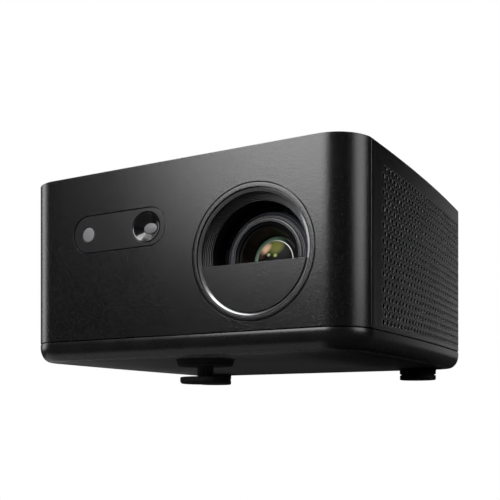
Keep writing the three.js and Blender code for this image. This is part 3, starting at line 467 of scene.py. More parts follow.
def hole_edges(finish):
    """1 on the eased edges of the side walls' holes: a little below the bowed outer face, and behind the
    walls' own front edges."""
    x, y, _ = finish.axes()
    depth = WIDTH / 2 - SIDE_BOW * (2 * y / DEPTH) ** 2 - finish.math("ABSOLUTE", x)
    return depth.band(0.06, 0.34, 0.03) * y.clip(SIDE_SEAM_Y + 2, SIDE_SEAM_Y + 3)


def satin_black(name, colour, roughness, grain_size=0.5, strength=0.12):
    """Moulded black plastic: a faint grain, and gloss that drifts where it has been handled."""
    finish = start(name)
    grain = finish.noise(grain_size, 3)
    cloud = finish.noise(22, 4)
    brighter = tuple(c * 1.5 for c in colour)
    return finish.surface(
        Base_Color=finish.mix(cloud.clip(0.35, 0.7), colour, brighter),
        Roughness=roughness + 0.10 * cloud - 0.05 + 0.04 * grain,
        Normal=finish.bump(grain, strength, 0.06),
    )


def plate_paint(name):
    """The underside plate: dark grey and finely textured, with smoother black bosses below its face."""
    finish = start(name)
    _, _, z = finish.axes()
    boss = 1 - z.clip(UNDERSIDE_Z - 0.12, UNDERSIDE_Z - 0.04)
    grain = finish.noise(0.6, 3)
    cloud = finish.noise(22, 4).clip(0.35, 0.7)
    tone = finish.mix(cloud, (0.040, 0.040, 0.041), (0.050, 0.050, 0.051))
    return finish.surface(
        Base_Color=finish.mix(boss, tone, (0.002, 0.002, 0.0022)),
        Roughness=0.50 + 0.08 * grain + 0.4 * boss,
        Normal=finish.bump(grain, 0.35, 0.06),
    )


def brushed(name, colour, roughness, stretch):
    """Metal with fine lines along one direction, and faint stains."""
    finish = start(name)
    lines = finish.noise(0.5, 3, stretch)
    stain = finish.noise(9, 4)
    darker = tuple(c * 0.72 for c in colour)
    return finish.surface(
        Base_Color=finish.mix(stain.clip(0.4, 0.75), colour, darker),
        Metallic=1.0,
        Roughness=roughness + 0.14 * lines - 0.04,
        Normal=finish.bump(lines, 0.2, 0.04),
    )


def circuit(name):
    """Green solder mask in two darker tones, with paler tracks between them."""
    finish = start(name)
    tracks = finish.node("ShaderNodeTexBrick", {"offset": 0.5}, {
        "Vector": finish.node("ShaderNodeTexCoord", output="Object"),
        "Scale": 160.0,
        "Mortar Size": 0.03,
        "Color1": (0.02, 0.10, 0.035, 1),
        "Color2": (0.015, 0.075, 0.028, 1),
        "Mortar": (0.05, 0.2, 0.07, 1),
    })
    return finish.surface(
        Base_Color=tracks,
        Roughness=0.42 + 0.1 * finish.noise(4),
        Normal=finish.bump(finish.noise(0.8), 0.1, 0.05),
    )


def nylon(name, colour):
    """Unfilled nylon: milky, with slow changes in tone."""
    finish = start(name)
    cloud = finish.noise(6, 3)
    return finish.surface(
        Base_Color=finish.mix(cloud.clip(0.3, 0.7), colour, tuple(c * 0.86 for c in colour)),
        Roughness=0.42 + 0.12 * cloud,
        Normal=finish.bump(finish.noise(0.6), 0.08, 0.05),
    )


def rubber(name):
    """Soft black rubber: matt, dusty in its grain."""
    finish = start(name)
    grain = finish.noise(0.35, 4)
    dust = finish.noise(7, 5)
    return finish.surface(
        Base_Color=finish.mix(dust.clip(0.45, 0.8), (0.006, 0.006, 0.006), (0.016, 0.016, 0.016)),
        Roughness=0.62 + 0.2 * grain,
        Normal=finish.bump(grain, 0.35, 0.08),
        Specular_IOR_Level=0.2,
    )


def lens_metal(name):
    """Black anodised metal of the lens: fine pale lines on its edges that are painted highlights, blue-grey
    on the flare and brown inside the cone."""
    finish = start(name)
    x, y, z = finish.axes()
    radius = ((x - LENS_X) ** 2 + (z - LENS_Z) ** 2) ** 0.5
    depth = y - FRONT_Y
    front = 1 - depth.clip(33, 34)
    lip = radius.band(20.6, 22.15, 0.12) * (1 - depth.clip(19.2, 19.4))
    # edge: thin rings on the lens edges whose pale colour is a painted highlight
    edge = radius.band(22.22, 22.45, 0.08)
    for low, high, weight in ((20.9, 21.02, 0.5), (23.55, 23.7, 0.4), (24.25, 24.4, 0.4), (26.0, 26.15, 0.3)):
        edge = edge + weight * radius.band(low, high, 0.06)
    cone = (1 - radius.clip(17.6, 17.9)) * front
    flare = radius.clip(24.2, 24.6) * (1 - depth.clip(22.5, 22.7))
    colour = finish.mix(cone, (0.005, 0.005, 0.006), (0.012, 0.005, 0.004))
    colour = finish.mix(flare, colour, (0.030, 0.033, 0.040))
    colour = finish.mix(lip, colour, (0.012, 0.012, 0.014))
    # painted highlights: pale colour on the edge rings, in front of 22 mm depth
    colour = finish.mix(edge * (1 - depth.clip(21.5, 22.0)), colour, (0.55, 0.55, 0.57))
    grooves = finish.math("SINE", depth * 9.0)
    return finish.surface(
        Base_Color=colour,
        Roughness=0.40 - 0.08 * lip + 0.05 * finish.noise(3),
        Normal=finish.bump(grooves * cone, 0.25, 0.1),
        Specular_IOR_Level=0.22,
    )


def baffle_with_painted_rib_highlights(name):
    """The baffle: black, with a painted highlight in paler colour on the fine nose of each step."""
    finish = start(name)
    _, y, _ = finish.axes()
    turn = finish.math("FRACT", (y - FRONT_Y - BAFFLE_FRONT) / BAFFLE_STEP)
    # nose marks each step's nose in front of 9 mm, where the paler colour is a painted highlight
    nose = (1 - turn.clip(0.10, 0.18)) * (1 - (y - FRONT_Y).clip(8.9, 9.1))
    return finish.surface(
        Base_Color=finish.mix(nose, (0.003, 0.003, 0.0035), (0.13, 0.13, 0.135)),
        Roughness=0.30 + 0.06 * finish.noise(3),
        Normal=finish.bump(finish.noise(0.5), 0.05, 0.05),
        Specular_IOR_Level=0.22,
    )


def glass_with_painted_reflections(name):
    """Front glass whose colour is painted reflection: a painted green reflection towards its upper left rim,
    a painted peach highlight that fades to olive and to black at the right, two small painted green glints
    low down, and painted highlights on the fine edges of the seats behind it."""
    finish = start(name)
    x, _, z = finish.axes()
    across, up = x - LENS_X, z - LENS_Z
    radius = (across**2 + up**2) ** 0.5

    def painted_reflection_patch(at_x, at_z, wide, high, lean=0.0):
        along = (across - at_x) + lean * (up - at_z)
        rise = (up - at_z) - lean * (across - at_x)
        return 1 - ((along / wide) ** 2 + (rise / high) ** 2).clip(0.0, 1.0)

    # left and right weight painted reflections and highlights towards the upper left and towards the right
    left = ((up * 0.4 - across) / 14.6).clip(-0.35, 0.5)
    right = ((across + up * 0.4) / 14.6).clip(0.0, 0.8)
    inside = 1 - radius.clip(11.2, 12.0)
    colour = (0.004, 0.005, 0.004)
    # painted reflections inside the rim: olive, a peach highlight, dark red and two green glints
    for place_and_size, weight, tint in (
        ((1.2, 8.5, 7.5, 6.5, 0.5), 1.0, (0.17, 0.18, 0.035)),
        ((-5.9, 7.4, 6.6, 4.3, 0.75), 1.0, (0.80, 0.52, 0.33)),
        ((-9.0, 4.0, 3.4, 3.4), 0.6, (0.10, 0.045, 0.04)),
        ((-3.5, 3.4, 1.5, 1.2), 1.0, (0.42, 0.50, 0.26)),
        ((0.9, 2.7, 1.5, 1.3), 1.0, (0.36, 0.48, 0.10)),
    ):
        colour = finish.mix(painted_reflection_patch(*place_and_size) * weight * inside, colour, tint)
    # painted reflection and highlights on rings: a green band to the upper left, a bright seat edge strongest
    # at the right, paler rings
    for low, high, soft, weight, tint in (
        (12.0, 14.0, 0.5, left * 0.8, (0.16, 0.30, 0.19)),
        (11.6, 12.0, 0.12, 0.25 + right, (0.9, 0.9, 0.88)),
        (12.8, 12.95, 0.12, (1 - right) * 0.5, (0.5, 0.52, 0.5)),
        (14.1, 14.3, 0.15, 0.45, (0.4, 0.4, 0.42)),
    ):
        colour = finish.mix(radius.band(low, high, soft) * weight, colour, tint)
    return finish.surface(
        Base_Color=colour,
        Roughness=0.30 + 0.05 * finish.noise(5),
        Specular_IOR_Level=0.05,
    )


def smoked(name, colour, roughness, coat):
    """Smoked glossy plastic."""
    finish = start(name)
    cloud = finish.noise(14, 3)
    return finish.surface(
        Base_Color=finish.mix(cloud.clip(0.3, 0.75), colour, tuple(c * 1.25 for c in colour)),
        Roughness=roughness + 0.05 * cloud,
        Coat_Weight=coat,
        Normal=finish.bump(finish.noise(0.5), 0.04, 0.03),
    )


FINISHES = {}


def make_finishes():
    """Every finish of the record's slots, made once."""
    look = bpy.context.scene.projector
    dark, light = tuple(look.paint_dark), tuple(look.paint_light)
    FINISHES.update(
        shell_paint=sand_paint("shell_paint", dark, light),
        base_plastic=satin_black("base_plastic", (0.004, 0.004, 0.0045), 0.25),
        plate_plastic=plate_paint("plate_plastic"),
        inner_plastic=satin_black("inner_plastic", (0.005, 0.005, 0.0055), 0.55, 0.6, 0.25),
        baffle_black=baffle_with_painted_rib_highlights("baffle_black"),
        lens_metal=lens_metal("lens_metal"),
        ring_paint=sand_paint("ring_paint", dark, light, ring_chamfer),
        grille_paint=sand_paint("grille_paint", dark, light, hole_edges, 0.6),
        window_plastic=smoked("window_plastic", (0.009, 0.009, 0.010), 0.26, 0.0),
        sensor_grey=smoked("sensor_grey", (0.13, 0.13, 0.135), 0.50, 0.1),
        pocket_black=smoked("pocket_black", (0.004, 0.004, 0.005), 0.20, 1.0),
        lens_glass=glass_with_painted_reflections("lens_glass"),
        rubber=rubber("rubber"),
        steel=brushed("steel", (0.50, 0.51, 0.52), 0.30, (1, 1, 8)),
        cast_metal=brushed("cast_metal", (0.36, 0.36, 0.37), 0.42, (1, 6, 1)),
        copper=brushed("copper", (0.62, 0.30, 0.17), 0.30, (8, 1, 1)),
        circuit_board=circuit("circuit_board"),
        nylon=nylon("nylon", (0.62, 0.60, 0.52)),
    )


# ---------------------------------------------------------------- front cover


def loop_rectangle(x0, x1, z0, z1, across, upright):
    """A rectangle from its lower right corner, anticlockwise: up, left, down, right, in even steps."""
    up = np.linspace([x1, z0], [x1, z1], upright, endpoint=False)
    left = np.linspace([x1, z1], [x0, z1], across, endpoint=False)
    down = np.linspace([x0, z1], [x0, z0], upright, endpoint=False)
    right = np.linspace([x0, z0], [x1, z0], across, endpoint=False)
    return np.concatenate([up, left, down, right])


def loop_circle(x, z, radius, across, upright):
    """A circle whose points pair with a rectangle's: a quarter of the turn faces each side."""
    quarters = [(-45, upright), (45, across), (135, upright), (225, across)]
    angle = np.radians(np.concatenate([np.linspace(a, a + 90, n, endpoint=False) for a, n in quarters]))
    return np.stack([x + radius * np.cos(angle), z + radius * np.sin(angle)], -1)


def loop_pill(x, z, length, width, across, upright):
    """A round-ended bar whose ends pair with a rectangle's upright sides."""
    half, radius = (length - width) / 2, width / 2
    first = np.linspace(-np.pi / 2, np.pi / 2, upright, endpoint=False)
    second = first + np.pi
    right = np.stack([x + half + radius * np.cos(first), z + radius * np.sin(first)], -1)
    top = np.linspace([x + half, z + radius], [x - half, z + radius], across, endpoint=False)
    left = np.stack([x - half + radius * np.cos(second), z + radius * np.sin(second)], -1)
    foot = np.linspace([x - half, z - radius], [x + half, z - radius], across, endpoint=False)
    return np.concatenate([right, top, left, foot])


def flat_ring(inner, outer, depth, steps=4):
    """The flat patch between two loops on the front, at a depth behind it."""
    t = np.linspace(0, 1, steps + 1)[:, None, None]
    flat = (1 - t) * inner + t * outer
    points = np.stack([flat[..., 0], np.full(flat.shape[:2], FRONT_Y + depth), flat[..., 1]], -1)
    return sheet(points, wrap=True, flip=True)


def front_cover_sheets():
    """The front as far as the side seams: two flat patches round the openings, and the two corners."""
    edge = PATH.points[FACE_STEPS, 0]
    split, across, upright = 4.0, 32, 36
    lens = loop_circle(LENS_X, LENS_Z, RING_R + GAP, across, upright)
    size = WINDOW_LENGTH + 2 * GAP, WINDOW_WIDTH + 2 * GAP
    window = loop_pill(PILL_X, PILL_Z, *size, across, upright)
    sheets = [
        flat_ring(lens, loop_rectangle(split, edge, SHELL_Z, TOP_Z, across, upright), 0),
        flat_ring(window, loop_rectangle(-edge, split, SHELL_Z, TOP_Z, across, upright), 0),
    ]
    z = np.linspace(SHELL_Z, TOP_Z, upright + 1)[:, None]
    corner = PATH.length[FACE_STEPS : FACE_STEPS + CORNER_STEPS]
    seam = PATH.where_y(SIDE_SEAM_Y)
    distance = np.append(corner[corner < seam], seam)[None, :]
    right = PATH.at(distance, 0.0, z)
    sheets.append(sheet(right))
    sheets.append(sheet(right * [-1, 1, 1], flip=True))
    return sheets


# ---------------------------------------------------------------- perforated sides


def grille_sheets(side, look):
    """One perforated side wall: rows of round holes, every other row half a pitch along, in cells of one
    hole each, with plain margins. A cell is twelve points round its hole paired with twelve on its
    rectangle, carried through the wall's thickness. The flat pattern of distance along the wall and
    height is wrapped onto the wall's path."""
    pitch, rise, hole = look.hole_pitch / MM, look.row_rise / MM, look.hole_diameter / MM / 2
    rows, top_row, first_hole_y, rear_margin = 20, 120.5, -74.46, 3.6
    half, h = pitch / 2, rise / 2
    start, end = PATH.where_y(SIDE_SEAM_Y + GAP), PATH.where_rear_x(REAR_SEAM_X)
    first = PATH.where_y(first_hole_y) - half
    columns = int((end - rear_margin - first) / pitch)
    last = first + columns * pitch
    low, high = top_row - rise * (rows - 0.5), top_row + h
    row = np.arange(rows)
    centres = []
    for number in row:
        shift = half if number % 2 == 0 else 0
        s = first + half + shift + pitch * np.arange(columns - (number % 2 == 0))
        centres.append(np.column_stack([s, np.full(len(s), top_row - rise * number)]))
    centres = np.concatenate(centres)
    angle = np.radians(np.arange(12) * 30)
    circle = np.stack([np.cos(angle), np.sin(angle)], -1)
    cell = np.array([
        [half, 0], [half, h], [half / 2, h], [0, h], [-half / 2, h], [-half, h],
        [-half, 0], [-half, -h], [-half / 2, -h], [0, -h], [half / 2, -h], [half, -h],
    ])
    wide, deep = 0.32, 0.24
    loops = [
        (cell, 0),
        (circle * (hole + wide), 0),
        (circle * (hole + wide * 0.3), deep * 0.4),
        (circle * hole, deep),
        (circle * hole, GRILLE_WALL),
        (cell, GRILLE_WALL),
    ]
    block = []
    for loop, depth in loops:
        s, z = (centres[:, None, i] + loop[None, :, i] for i in (0, 1))
        block.append(PATH.at(s, depth, z))
    block = np.stack(block, 1).reshape(len(centres), -1, 3)
    sheets = [copies(block, grid_faces(len(loops), 12, wrap=True))]

    ease = 0.4
    plain = 1.2
    eased = np.array([0, 0.12, ease])
    s_mid = first + np.arange(columns * 4 + 1) * half / 2
    s_left = np.concatenate([start + eased, np.linspace(start + plain, first, 10)])
    s_right = np.concatenate([np.linspace(last, end - plain, 4), end - eased[::-1]])
    z_mid = low + np.arange(rows * 2 + 1) * h
    z_foot = np.concatenate([SHELL_Z + eased, np.linspace(SHELL_Z + plain, low, 3)])
    z_head = np.concatenate([np.linspace(high, TOP_Z - plain, 5), TOP_Z - eased[::-1]])
    z_all = np.unique(np.round(np.concatenate([z_foot, z_mid, z_head]), 6))

    def edge_depth(s, z):
        away = np.minimum(np.minimum(s - start, end - s), np.minimum(z - SHELL_Z, TOP_Z - z))
        inside = np.clip(ease - away, 0, ease)
        return ease - np.sqrt(np.maximum(ease**2 - inside**2, 0))

    def layer(s, z, inner):
        s, z = np.meshgrid(s, z)
        depth = np.full(s.shape, GRILLE_WALL) if inner else edge_depth(s, z)
        return sheet(PATH.at(s, depth, z))

    for inner in (False, True):
        sheets += [layer(s_left, z_all, inner), layer(s_right, z_all, inner)]
        sheets += [layer(s_mid, z_foot, inner), layer(s_mid, z_head, inner)]
        for number in row[::2]:
            z = top_row - rise * number + np.array([-h, 0, h])
            sheets += [layer(s_mid[:3], z, inner), layer(s_mid[-3:], z, inner)]
    s_all = np.unique(np.round(np.concatenate([s_left, s_mid, s_right]), 6))
    for s, z in ((s_all, SHELL_Z), (s_all, TOP_Z), (start, z_all), (end, z_all)):
        sheets.append(sheet(np.stack([PATH.at(s, edge_depth(s, z), z), PATH.at(s, GRILLE_WALL, z)])))
    return [(points * [side, 1, 1], faces) for points, faces in sheets]


# ---------------------------------------------------------------- top cover, base and feet


def loft(rings):
    """Closed rings stacked into one grid."""
    return sheet(np.stack(rings), wrap=True)


def top_cover_sheets():
    """The top plate with the button's well sunk in it. Its rings run from the well's floor up to the face,
    out, round the edge and back underneath. Each is (radius or inset, depth below the face)."""
    bore, cup, edge, tip = BUTTON_BORE_R, BUTTON_BORE_R + 1.7, WALL + GAP, 0.01
    well = [(tip, BUTTON_WELL), (bore, BUTTON_WELL), (bore, 0.5)]
    well += [(bore + 0.2, 0.1), (bore + 0.6, 0), (bore + 3, 0)]
    face = [(3, 0), (0.9, 0), (0.35, 0.12), (0.08, 0.45), (0, 0.9), (0, WALL)]
    under = [(cup, WALL), (cup, BUTTON_WELL + 1.6), (tip, BUTTON_WELL + 1.6)]
    rings = [ring_round(BUTTON, radius, TOP_Z - depth) for radius, depth in well]
    rings += [ring(edge + inset, TOP_Z - depth) for inset, depth in face]
    rings += [ring_round(BUTTON, radius, TOP_Z - depth) for radius, depth in under]
    return [loft(rings)]


def base_tray_sheets():
    """The bowl: a lip inside the shell, a quarter-ellipse turn, the plate's seat, then the inside."""
    turn = np.linspace(0, np.pi / 2, 15)
    inset, rise = 7.4, SEAM_Z - 2.4 - UNDERSIDE_Z
    bowl = [(inset * (1 - np.sin(a)), UNDERSIDE_Z + rise * (1 - np.cos(a))) for a in turn]
    lip, lip_back, lip_z = WALL + 2 * GAP, WALL + 2 * GAP + 1.4, SEAM_Z + 4
    seat, floor = UNDERSIDE_Z + 2.5, UNDERSIDE_Z + 4.7
    outer = [(lip_back, lip_z), (lip, lip_z), (lip, SEAM_Z)]
    outer += [(0.5, SEAM_Z), (0.15, SEAM_Z - 0.12), (0, SEAM_Z - 0.5)] + bowl[::-1]
    outer += [(8.0, UNDERSIDE_Z), (8.4, UNDERSIDE_Z + 0.4), (8.4, seat)]
    hole = [ring_round(FRONT_FOOT, STEM_HOLE_R, seat), ring_round(FRONT_FOOT, STEM_HOLE_R, floor)]
    inner = [(9.8, floor), (6.5, floor + 1), (lip_back, floor + 4), (lip_back, lip_z)]
    return [loft([ring(*p) for p in outer] + hole + [ring(*p) for p in inner])]


def boss_profile(inner, outer, slope_end, foot, ease):
    """A drafted boss below the underside, as a closed ring round a foot's hole."""
    return rounded([
        (inner, BOSS_Z), (outer, BOSS_Z, ease[0]), (slope_end, UNDERSIDE_Z - 0.1, ease[1]),
        (foot, UNDERSIDE_Z + 0.05), (foot, UNDERSIDE_Z + 1), (inner, UNDERSIDE_Z + 1),
    ], 5, closed=True)


def bottom_plate_sheets():
    """The flat underside with a drafted boss for the front foot and a plain one for each rear foot."""
    edge, thick = 9.0, 2.2
    rings = [ring_round(FRONT_FOOT, STEM_HOLE_R, UNDERSIDE_Z + rise) for rise in (thick, 0)]
    rim = ((0.6, 0), (0.15, 0.15), (0, 0.6), (0, thick))
    rings += [ring(edge + more, UNDERSIDE_Z + rise) for more, rise in rim]
    rings.append(rings[0])
    front_boss = boss_profile(STEM_HOLE_R, 17.4, 18.5, 20.2, (0.7, 1.2))
    rear_boss = boss_profile(4.2, 13.3, 13.5, 14.8, (0.5, 0.8))
    sheets = [loft(rings), turned(front_boss, (*FRONT_FOOT, 0), "z")]
    for node in ("rear_foot_right", "rear_foot_left"):
        centre = sum(box_mm(node))[:2] / 2
        sheets.append(turned(rear_boss, (*centre, 0), "z", 96))
    return sheets


def front_pad_sheets():
    """The front foot's round tread with eased edges and a seat for the stem's tip."""
    top, r, seat_r, seat_z = PAD_TOP, 16.1, 3.9, PAD_TOP - 2.1
    profile = rounded([
        (CENTRE_POINT, 0), (r - 0.9, 0, 0.9), (r, 1.2, 1.0), (r, top - 0.1, 0.7),
        (r - 1.2, top, 0.5), (seat_r, top, 0.2), (seat_r, seat_z), (CENTRE_POINT, seat_z),
    ], 5)
    profile[:, 1] = np.clip(profile[:, 1], 0, top)
    return [turned(profile, (*FRONT_FOOT, 0), "z", 128)]


def stem_sheets():
    """The front foot's stem: twelve flutes, a plain tip below and a stop collar above."""
    low, high = (v[2] for v in box_mm("front_foot_stem"))
    collar, tip_r, collar_r = high - 2, 3.6, 7.5

    def flutes(angle, along):
        count, squareness, half_depth = 12, 2.2, 0.25
        wave = np.tanh(squareness * np.sin(count * angle)) / np.tanh(squareness)
        inside = (along > PAD_TOP + 0.25) & (along < collar - 0.1)
        return np.where(inside, half_depth * wave - half_depth, 0)

    profile = [(CENTRE_POINT, low), (tip_r - 0.3, low), (tip_r, low + 0.3), (tip_r, PAD_TOP + 0.2)]
    profile += [(STEM_R - 0.4, PAD_TOP + 0.3), (STEM_R, PAD_TOP + 0.7)]
    profile += [(STEM_R, z) for z in np.linspace(PAD_TOP + 1.2, collar - 0.2, 12)]
    profile += [(STEM_R, collar), (collar_r, collar), (collar_r, high), (CENTRE_POINT, high)]
    return [turned(profile, (*FRONT_FOOT, 0), "z", 144, flutes)]


def rear_foot_sheets(node):
    """A rubber rear foot: a plug, a narrow neck and a tread whose side has fine upright ribs."""
    low, high = (v[2] for v in box_mm(node))
    centre = sum(box_mm(node))[:2] / 2
    top, r, plug_r = BOSS_Z - GAP, 13.3, 3.9

    def ribs(angle, along):
        count, half_depth = 48, 0.14
        inside = (along > low + 0.5) & (along < top - 0.75)
        return np.where(inside, half_depth * np.cos(count * angle) - half_depth, 0)

    profile = [(CENTRE_POINT, low), (r - 0.9, low), (r - 0.3, low + 0.15), (r, low + 0.6)]
    profile += [(r, (low + top) / 2), (r, top - 0.8), (r - 0.1, top - 0.6), (r - 1, top - 0.5)]
    profile += [(r - 1, top), (plug_r, top), (plug_r, high), (CENTRE_POINT, high)]
    return [turned(profile, (*centre, 0), "z", 288, ribs)]


# ---------------------------------------------------------------- lens surround and lens


def trim_ring_sheets():
    """The trim ring: a flat painted band, a hollow chamfer inside it and a hidden flange behind the cover."""
    profile = rounded([
        (36.05, 0.55), (36.05, 1.2), (36.6, 1.2), (36.6, 0, 0.12), (39.15, 0, 0.2), (39.15, 2.7),
        (42.2, 2.7), (42.2, 4.7), (38.6, 4.7), (38.6, 2.4), (34.3, 2.4), (34.3, 1.55, 0.3),
    ], 4, closed=True)
    return [turned(profile, LENS_CENTRE, "y", 160)]


def baffle_sheets():
    """The baffle: six steps inward behind the ring, each with a fine rounded nose, then a plain tube."""
    front, rib, steps = BAFFLE_FRONT, BAFFLE_STEP, 6
    widest, tube = 34.4, 31
    step_in = (widest - tube) / steps
    inside = []
    for i in range(steps):
        radius = widest - i * step_in
        inside += [(radius, front + i * rib, 0.28), (radius, front + (i + 1) * rib, 0.05)]
    rest = [(tube, front + steps * rib), (tube, 26), (32.6, 26), (32.6, 10.7), (38.3, 4.9), (38.3, front)]
    return [turned(rounded(inside + rest, 3, closed=True), LENS_CENTRE, "y", 144)]


def shield_sheets():
    """The half-moon plate: upright lines from its straight edge down to its arc, at equal steps across."""
    r, below, set_back = 34.1, 6.0, 2.2
    half = np.sqrt(r**2 - below**2)
    angle = np.linspace(-np.arcsin(half / r), np.arcsin(half / r), 97)
    x = r * np.sin(angle)
    foot = -np.sqrt(np.maximum(r**2 - x**2, below**2))
    t = np.linspace(0, 1, 13)[:, None]
    z = -below * (1 - t) + foot * t
    points = np.stack([LENS_X + x + 0 * t, np.full(z.shape, FRONT_Y + set_back), LENS_Z + z], -1)
    return [sheet(points)]


def lens_cell_sheets():
    """The moving front cell: a lip, a flared collar, a stepped cone down to the glass and the tube behind."""
    d = 18.0
    mouth, throat, stages = (17.7, 21.2), (15.1, 29.5), 7
    cone = [(*mouth, 0.1)]
    for i in range(stages):
        radius, depth = (one + (other - one) * (i + 1) / stages for one, other in zip(mouth, throat))
        cone += [(radius + 0.12, depth - 0.25), (radius, depth, 0.08)]
    profile = rounded([
        (21.0, d, 0.2), (22.4, d + 0.1, 0.3), (22.4, d + 0.9), (23.0, d + 0.9, 0.1), (23.0, d + 1.4),
        (23.7, d + 1.4, 0.1), (23.7, d + 2.0), (24.4, d + 2.0, 0.15), (26.0, d + 2.7, 1.2),
        (28.2, d + 4.6, 1.0), (28.3, d + 12), (26.3, d + 12), (26.3, d + 14), (20.5, d + 16),
        (20.5, d + 44), (18.9, d + 44), (18.9, 38.5), (14.9, 38.5), (14.9, 30.3, 0.1),
        *cone[::-1],
        (19.2, d + 2.6, 0.4), (19.3, d + 1.7, 0.1), (20.6, d + 1.2, 0.2), (20.7, d + 0.6, 0.1),
    ], 3, closed=True)
    return [turned(profile, LENS_CENTRE, "y", 144)]


def glass_sheets(node, radius, front_bulge, rear_bulge):
    """A lens element: two shallow domes, each a parabola of its radius, joined by a ground rim."""
    low, high = box_mm(node)
    front, rear = low[1] - FRONT_Y + front_bulge, high[1] - FRONT_Y - rear_bulge
    t = np.linspace(CENTRE_POINT, 1, 24)
    dome = np.column_stack([radius * t, front - front_bulge * (1 - t**2)])
    back = np.column_stack([radius * t, rear + rear_bulge * (1 - t**2)])[::-1]
    return [turned(np.concatenate([dome, back]), LENS_CENTRE, "y", 96)]


# ---------------------------------------------------------------- sensor window


def window_sheets():
    """The window's face: a flat patch round the receiver and one round the camera's pocket."""
    half, r = (WINDOW_LENGTH - WINDOW_WIDTH) / 2, (WINDOW_WIDTH - GAP) / 2
    across, upright, split = 20, 40, 0.0
    sheets = []
    for sign, centre, (rx, rz) in ((1, EYE_X, EYE_HOLE), (-1, RECEIVER_X, RECEIVER_HOLE)):
        arc = np.linspace(-np.pi / 2, np.pi / 2, upright, endpoint=False)
        end = np.stack([half + r * np.cos(arc), r * np.sin(arc)], -1)
        top = np.linspace([half, r], [split, r], across, endpoint=False)
        down = np.linspace([split, r], [split, -r], upright, endpoint=False)
        foot = np.linspace([split, -r], [half, -r], across, endpoint=False)
        outer = np.concatenate([end, top, down, foot])
        away = outer - [abs(centre), 0]
        angle = np.arctan2(away[:, 1] / rz, away[:, 0] / rx)
        hole = np.stack([abs(centre) + rx * np.cos(angle), rz * np.sin(angle)], -1)
        grown = [loop * [sign, 1] + [PILL_X, PILL_Z] for loop in (hole, outer)]
        points, faces = flat_ring(*grown, 0.25, 5)
        sheets.append((points, faces if sign > 0 else faces[:, ::-1]))
    return sheets


def oval(x, rx, rz, depth, count):
    """An upright oval at the window's height, at a depth behind the front."""
    angle = np.linspace(0, 2 * np.pi, count, endpoint=False)
    across, up = rx * np.cos(angle), rz * np.sin(angle)
    return np.stack([x + across, np.full(count, FRONT_Y + depth), PILL_Z + up], -1)


def pocket_sheets():
    """The camera's cup: ovals that shrink from the window's opening to the eye, then the outside."""
    profile = [
        (10.1, 9.2, 0.6), (9.9, 9.0, 0.3), (9.55, 8.65, 0.35), (9.2, 8.3, 0.7), (5.7, 4.3, 4.6),
        (5.2, 3.65, 4.9), (5.0, 3.45, 5.1), (5.0, 3.45, 7.9), (10.1, 9.2, 7.9), (10.1, 9.2, 0.6),
    ]
    return [loft([oval(PILL_X + EYE_X, *station, 96) for station in profile])]


def dome_sheets(x, rx, rz, front, rear, bulge):
    """A shallow oval dome facing out, closed behind; its height is a parabola."""
    shrink = np.linspace(CENTRE_POINT, 1, 12)
    stations = [(k, front - bulge * (1 - k**2)) for k in shrink] + [(1.0, rear), (CENTRE_POINT, rear)]
    return [loft([oval(PILL_X + x, k * rx, k * rz, depth, 72) for k, depth in stations])]


# ---------------------------------------------------------------- add-on


class ProjectorSettings(bpy.types.PropertyGroup):
    """Sizes and colours of the projector's visible pieces."""

    hole_diameter: bpy.props.FloatProperty(
        name="Hole diameter", description="Each round hole in the sides", default=0.0036, unit="LENGTH")
    hole_pitch: bpy.props.FloatProperty(
        name="Hole pitch", description="From hole to hole along a row", default=0.00592, unit="LENGTH")
    row_rise: bpy.props.FloatProperty(
        name="Row rise", description="From one row of holes to the next", default=0.00463, unit="LENGTH")
    paint_dark: bpy.props.FloatVectorProperty(
        name="Paint, dark", description="The paint between its grains",
        default=(0.002, 0.002, 0.0023), subtype="COLOR", size=3)
    paint_light: bpy.props.FloatVectorProperty(
        name="Paint, light", description="The paint's bright grains",
        default=(0.014, 0.014, 0.0155), subtype="COLOR", size=3)


class StageSettings(bpy.types.PropertyGroup):
    """The stage round the projector."""

    key_power: bpy.props.FloatProperty(name="Key light", description="Power of the front light", default=5.6)
    floor_colour: bpy.props.FloatVectorProperty(
        name="Floor", description="Colour of the floor", default=(0.8, 0.8, 0.8), subtype="COLOR", size=3)


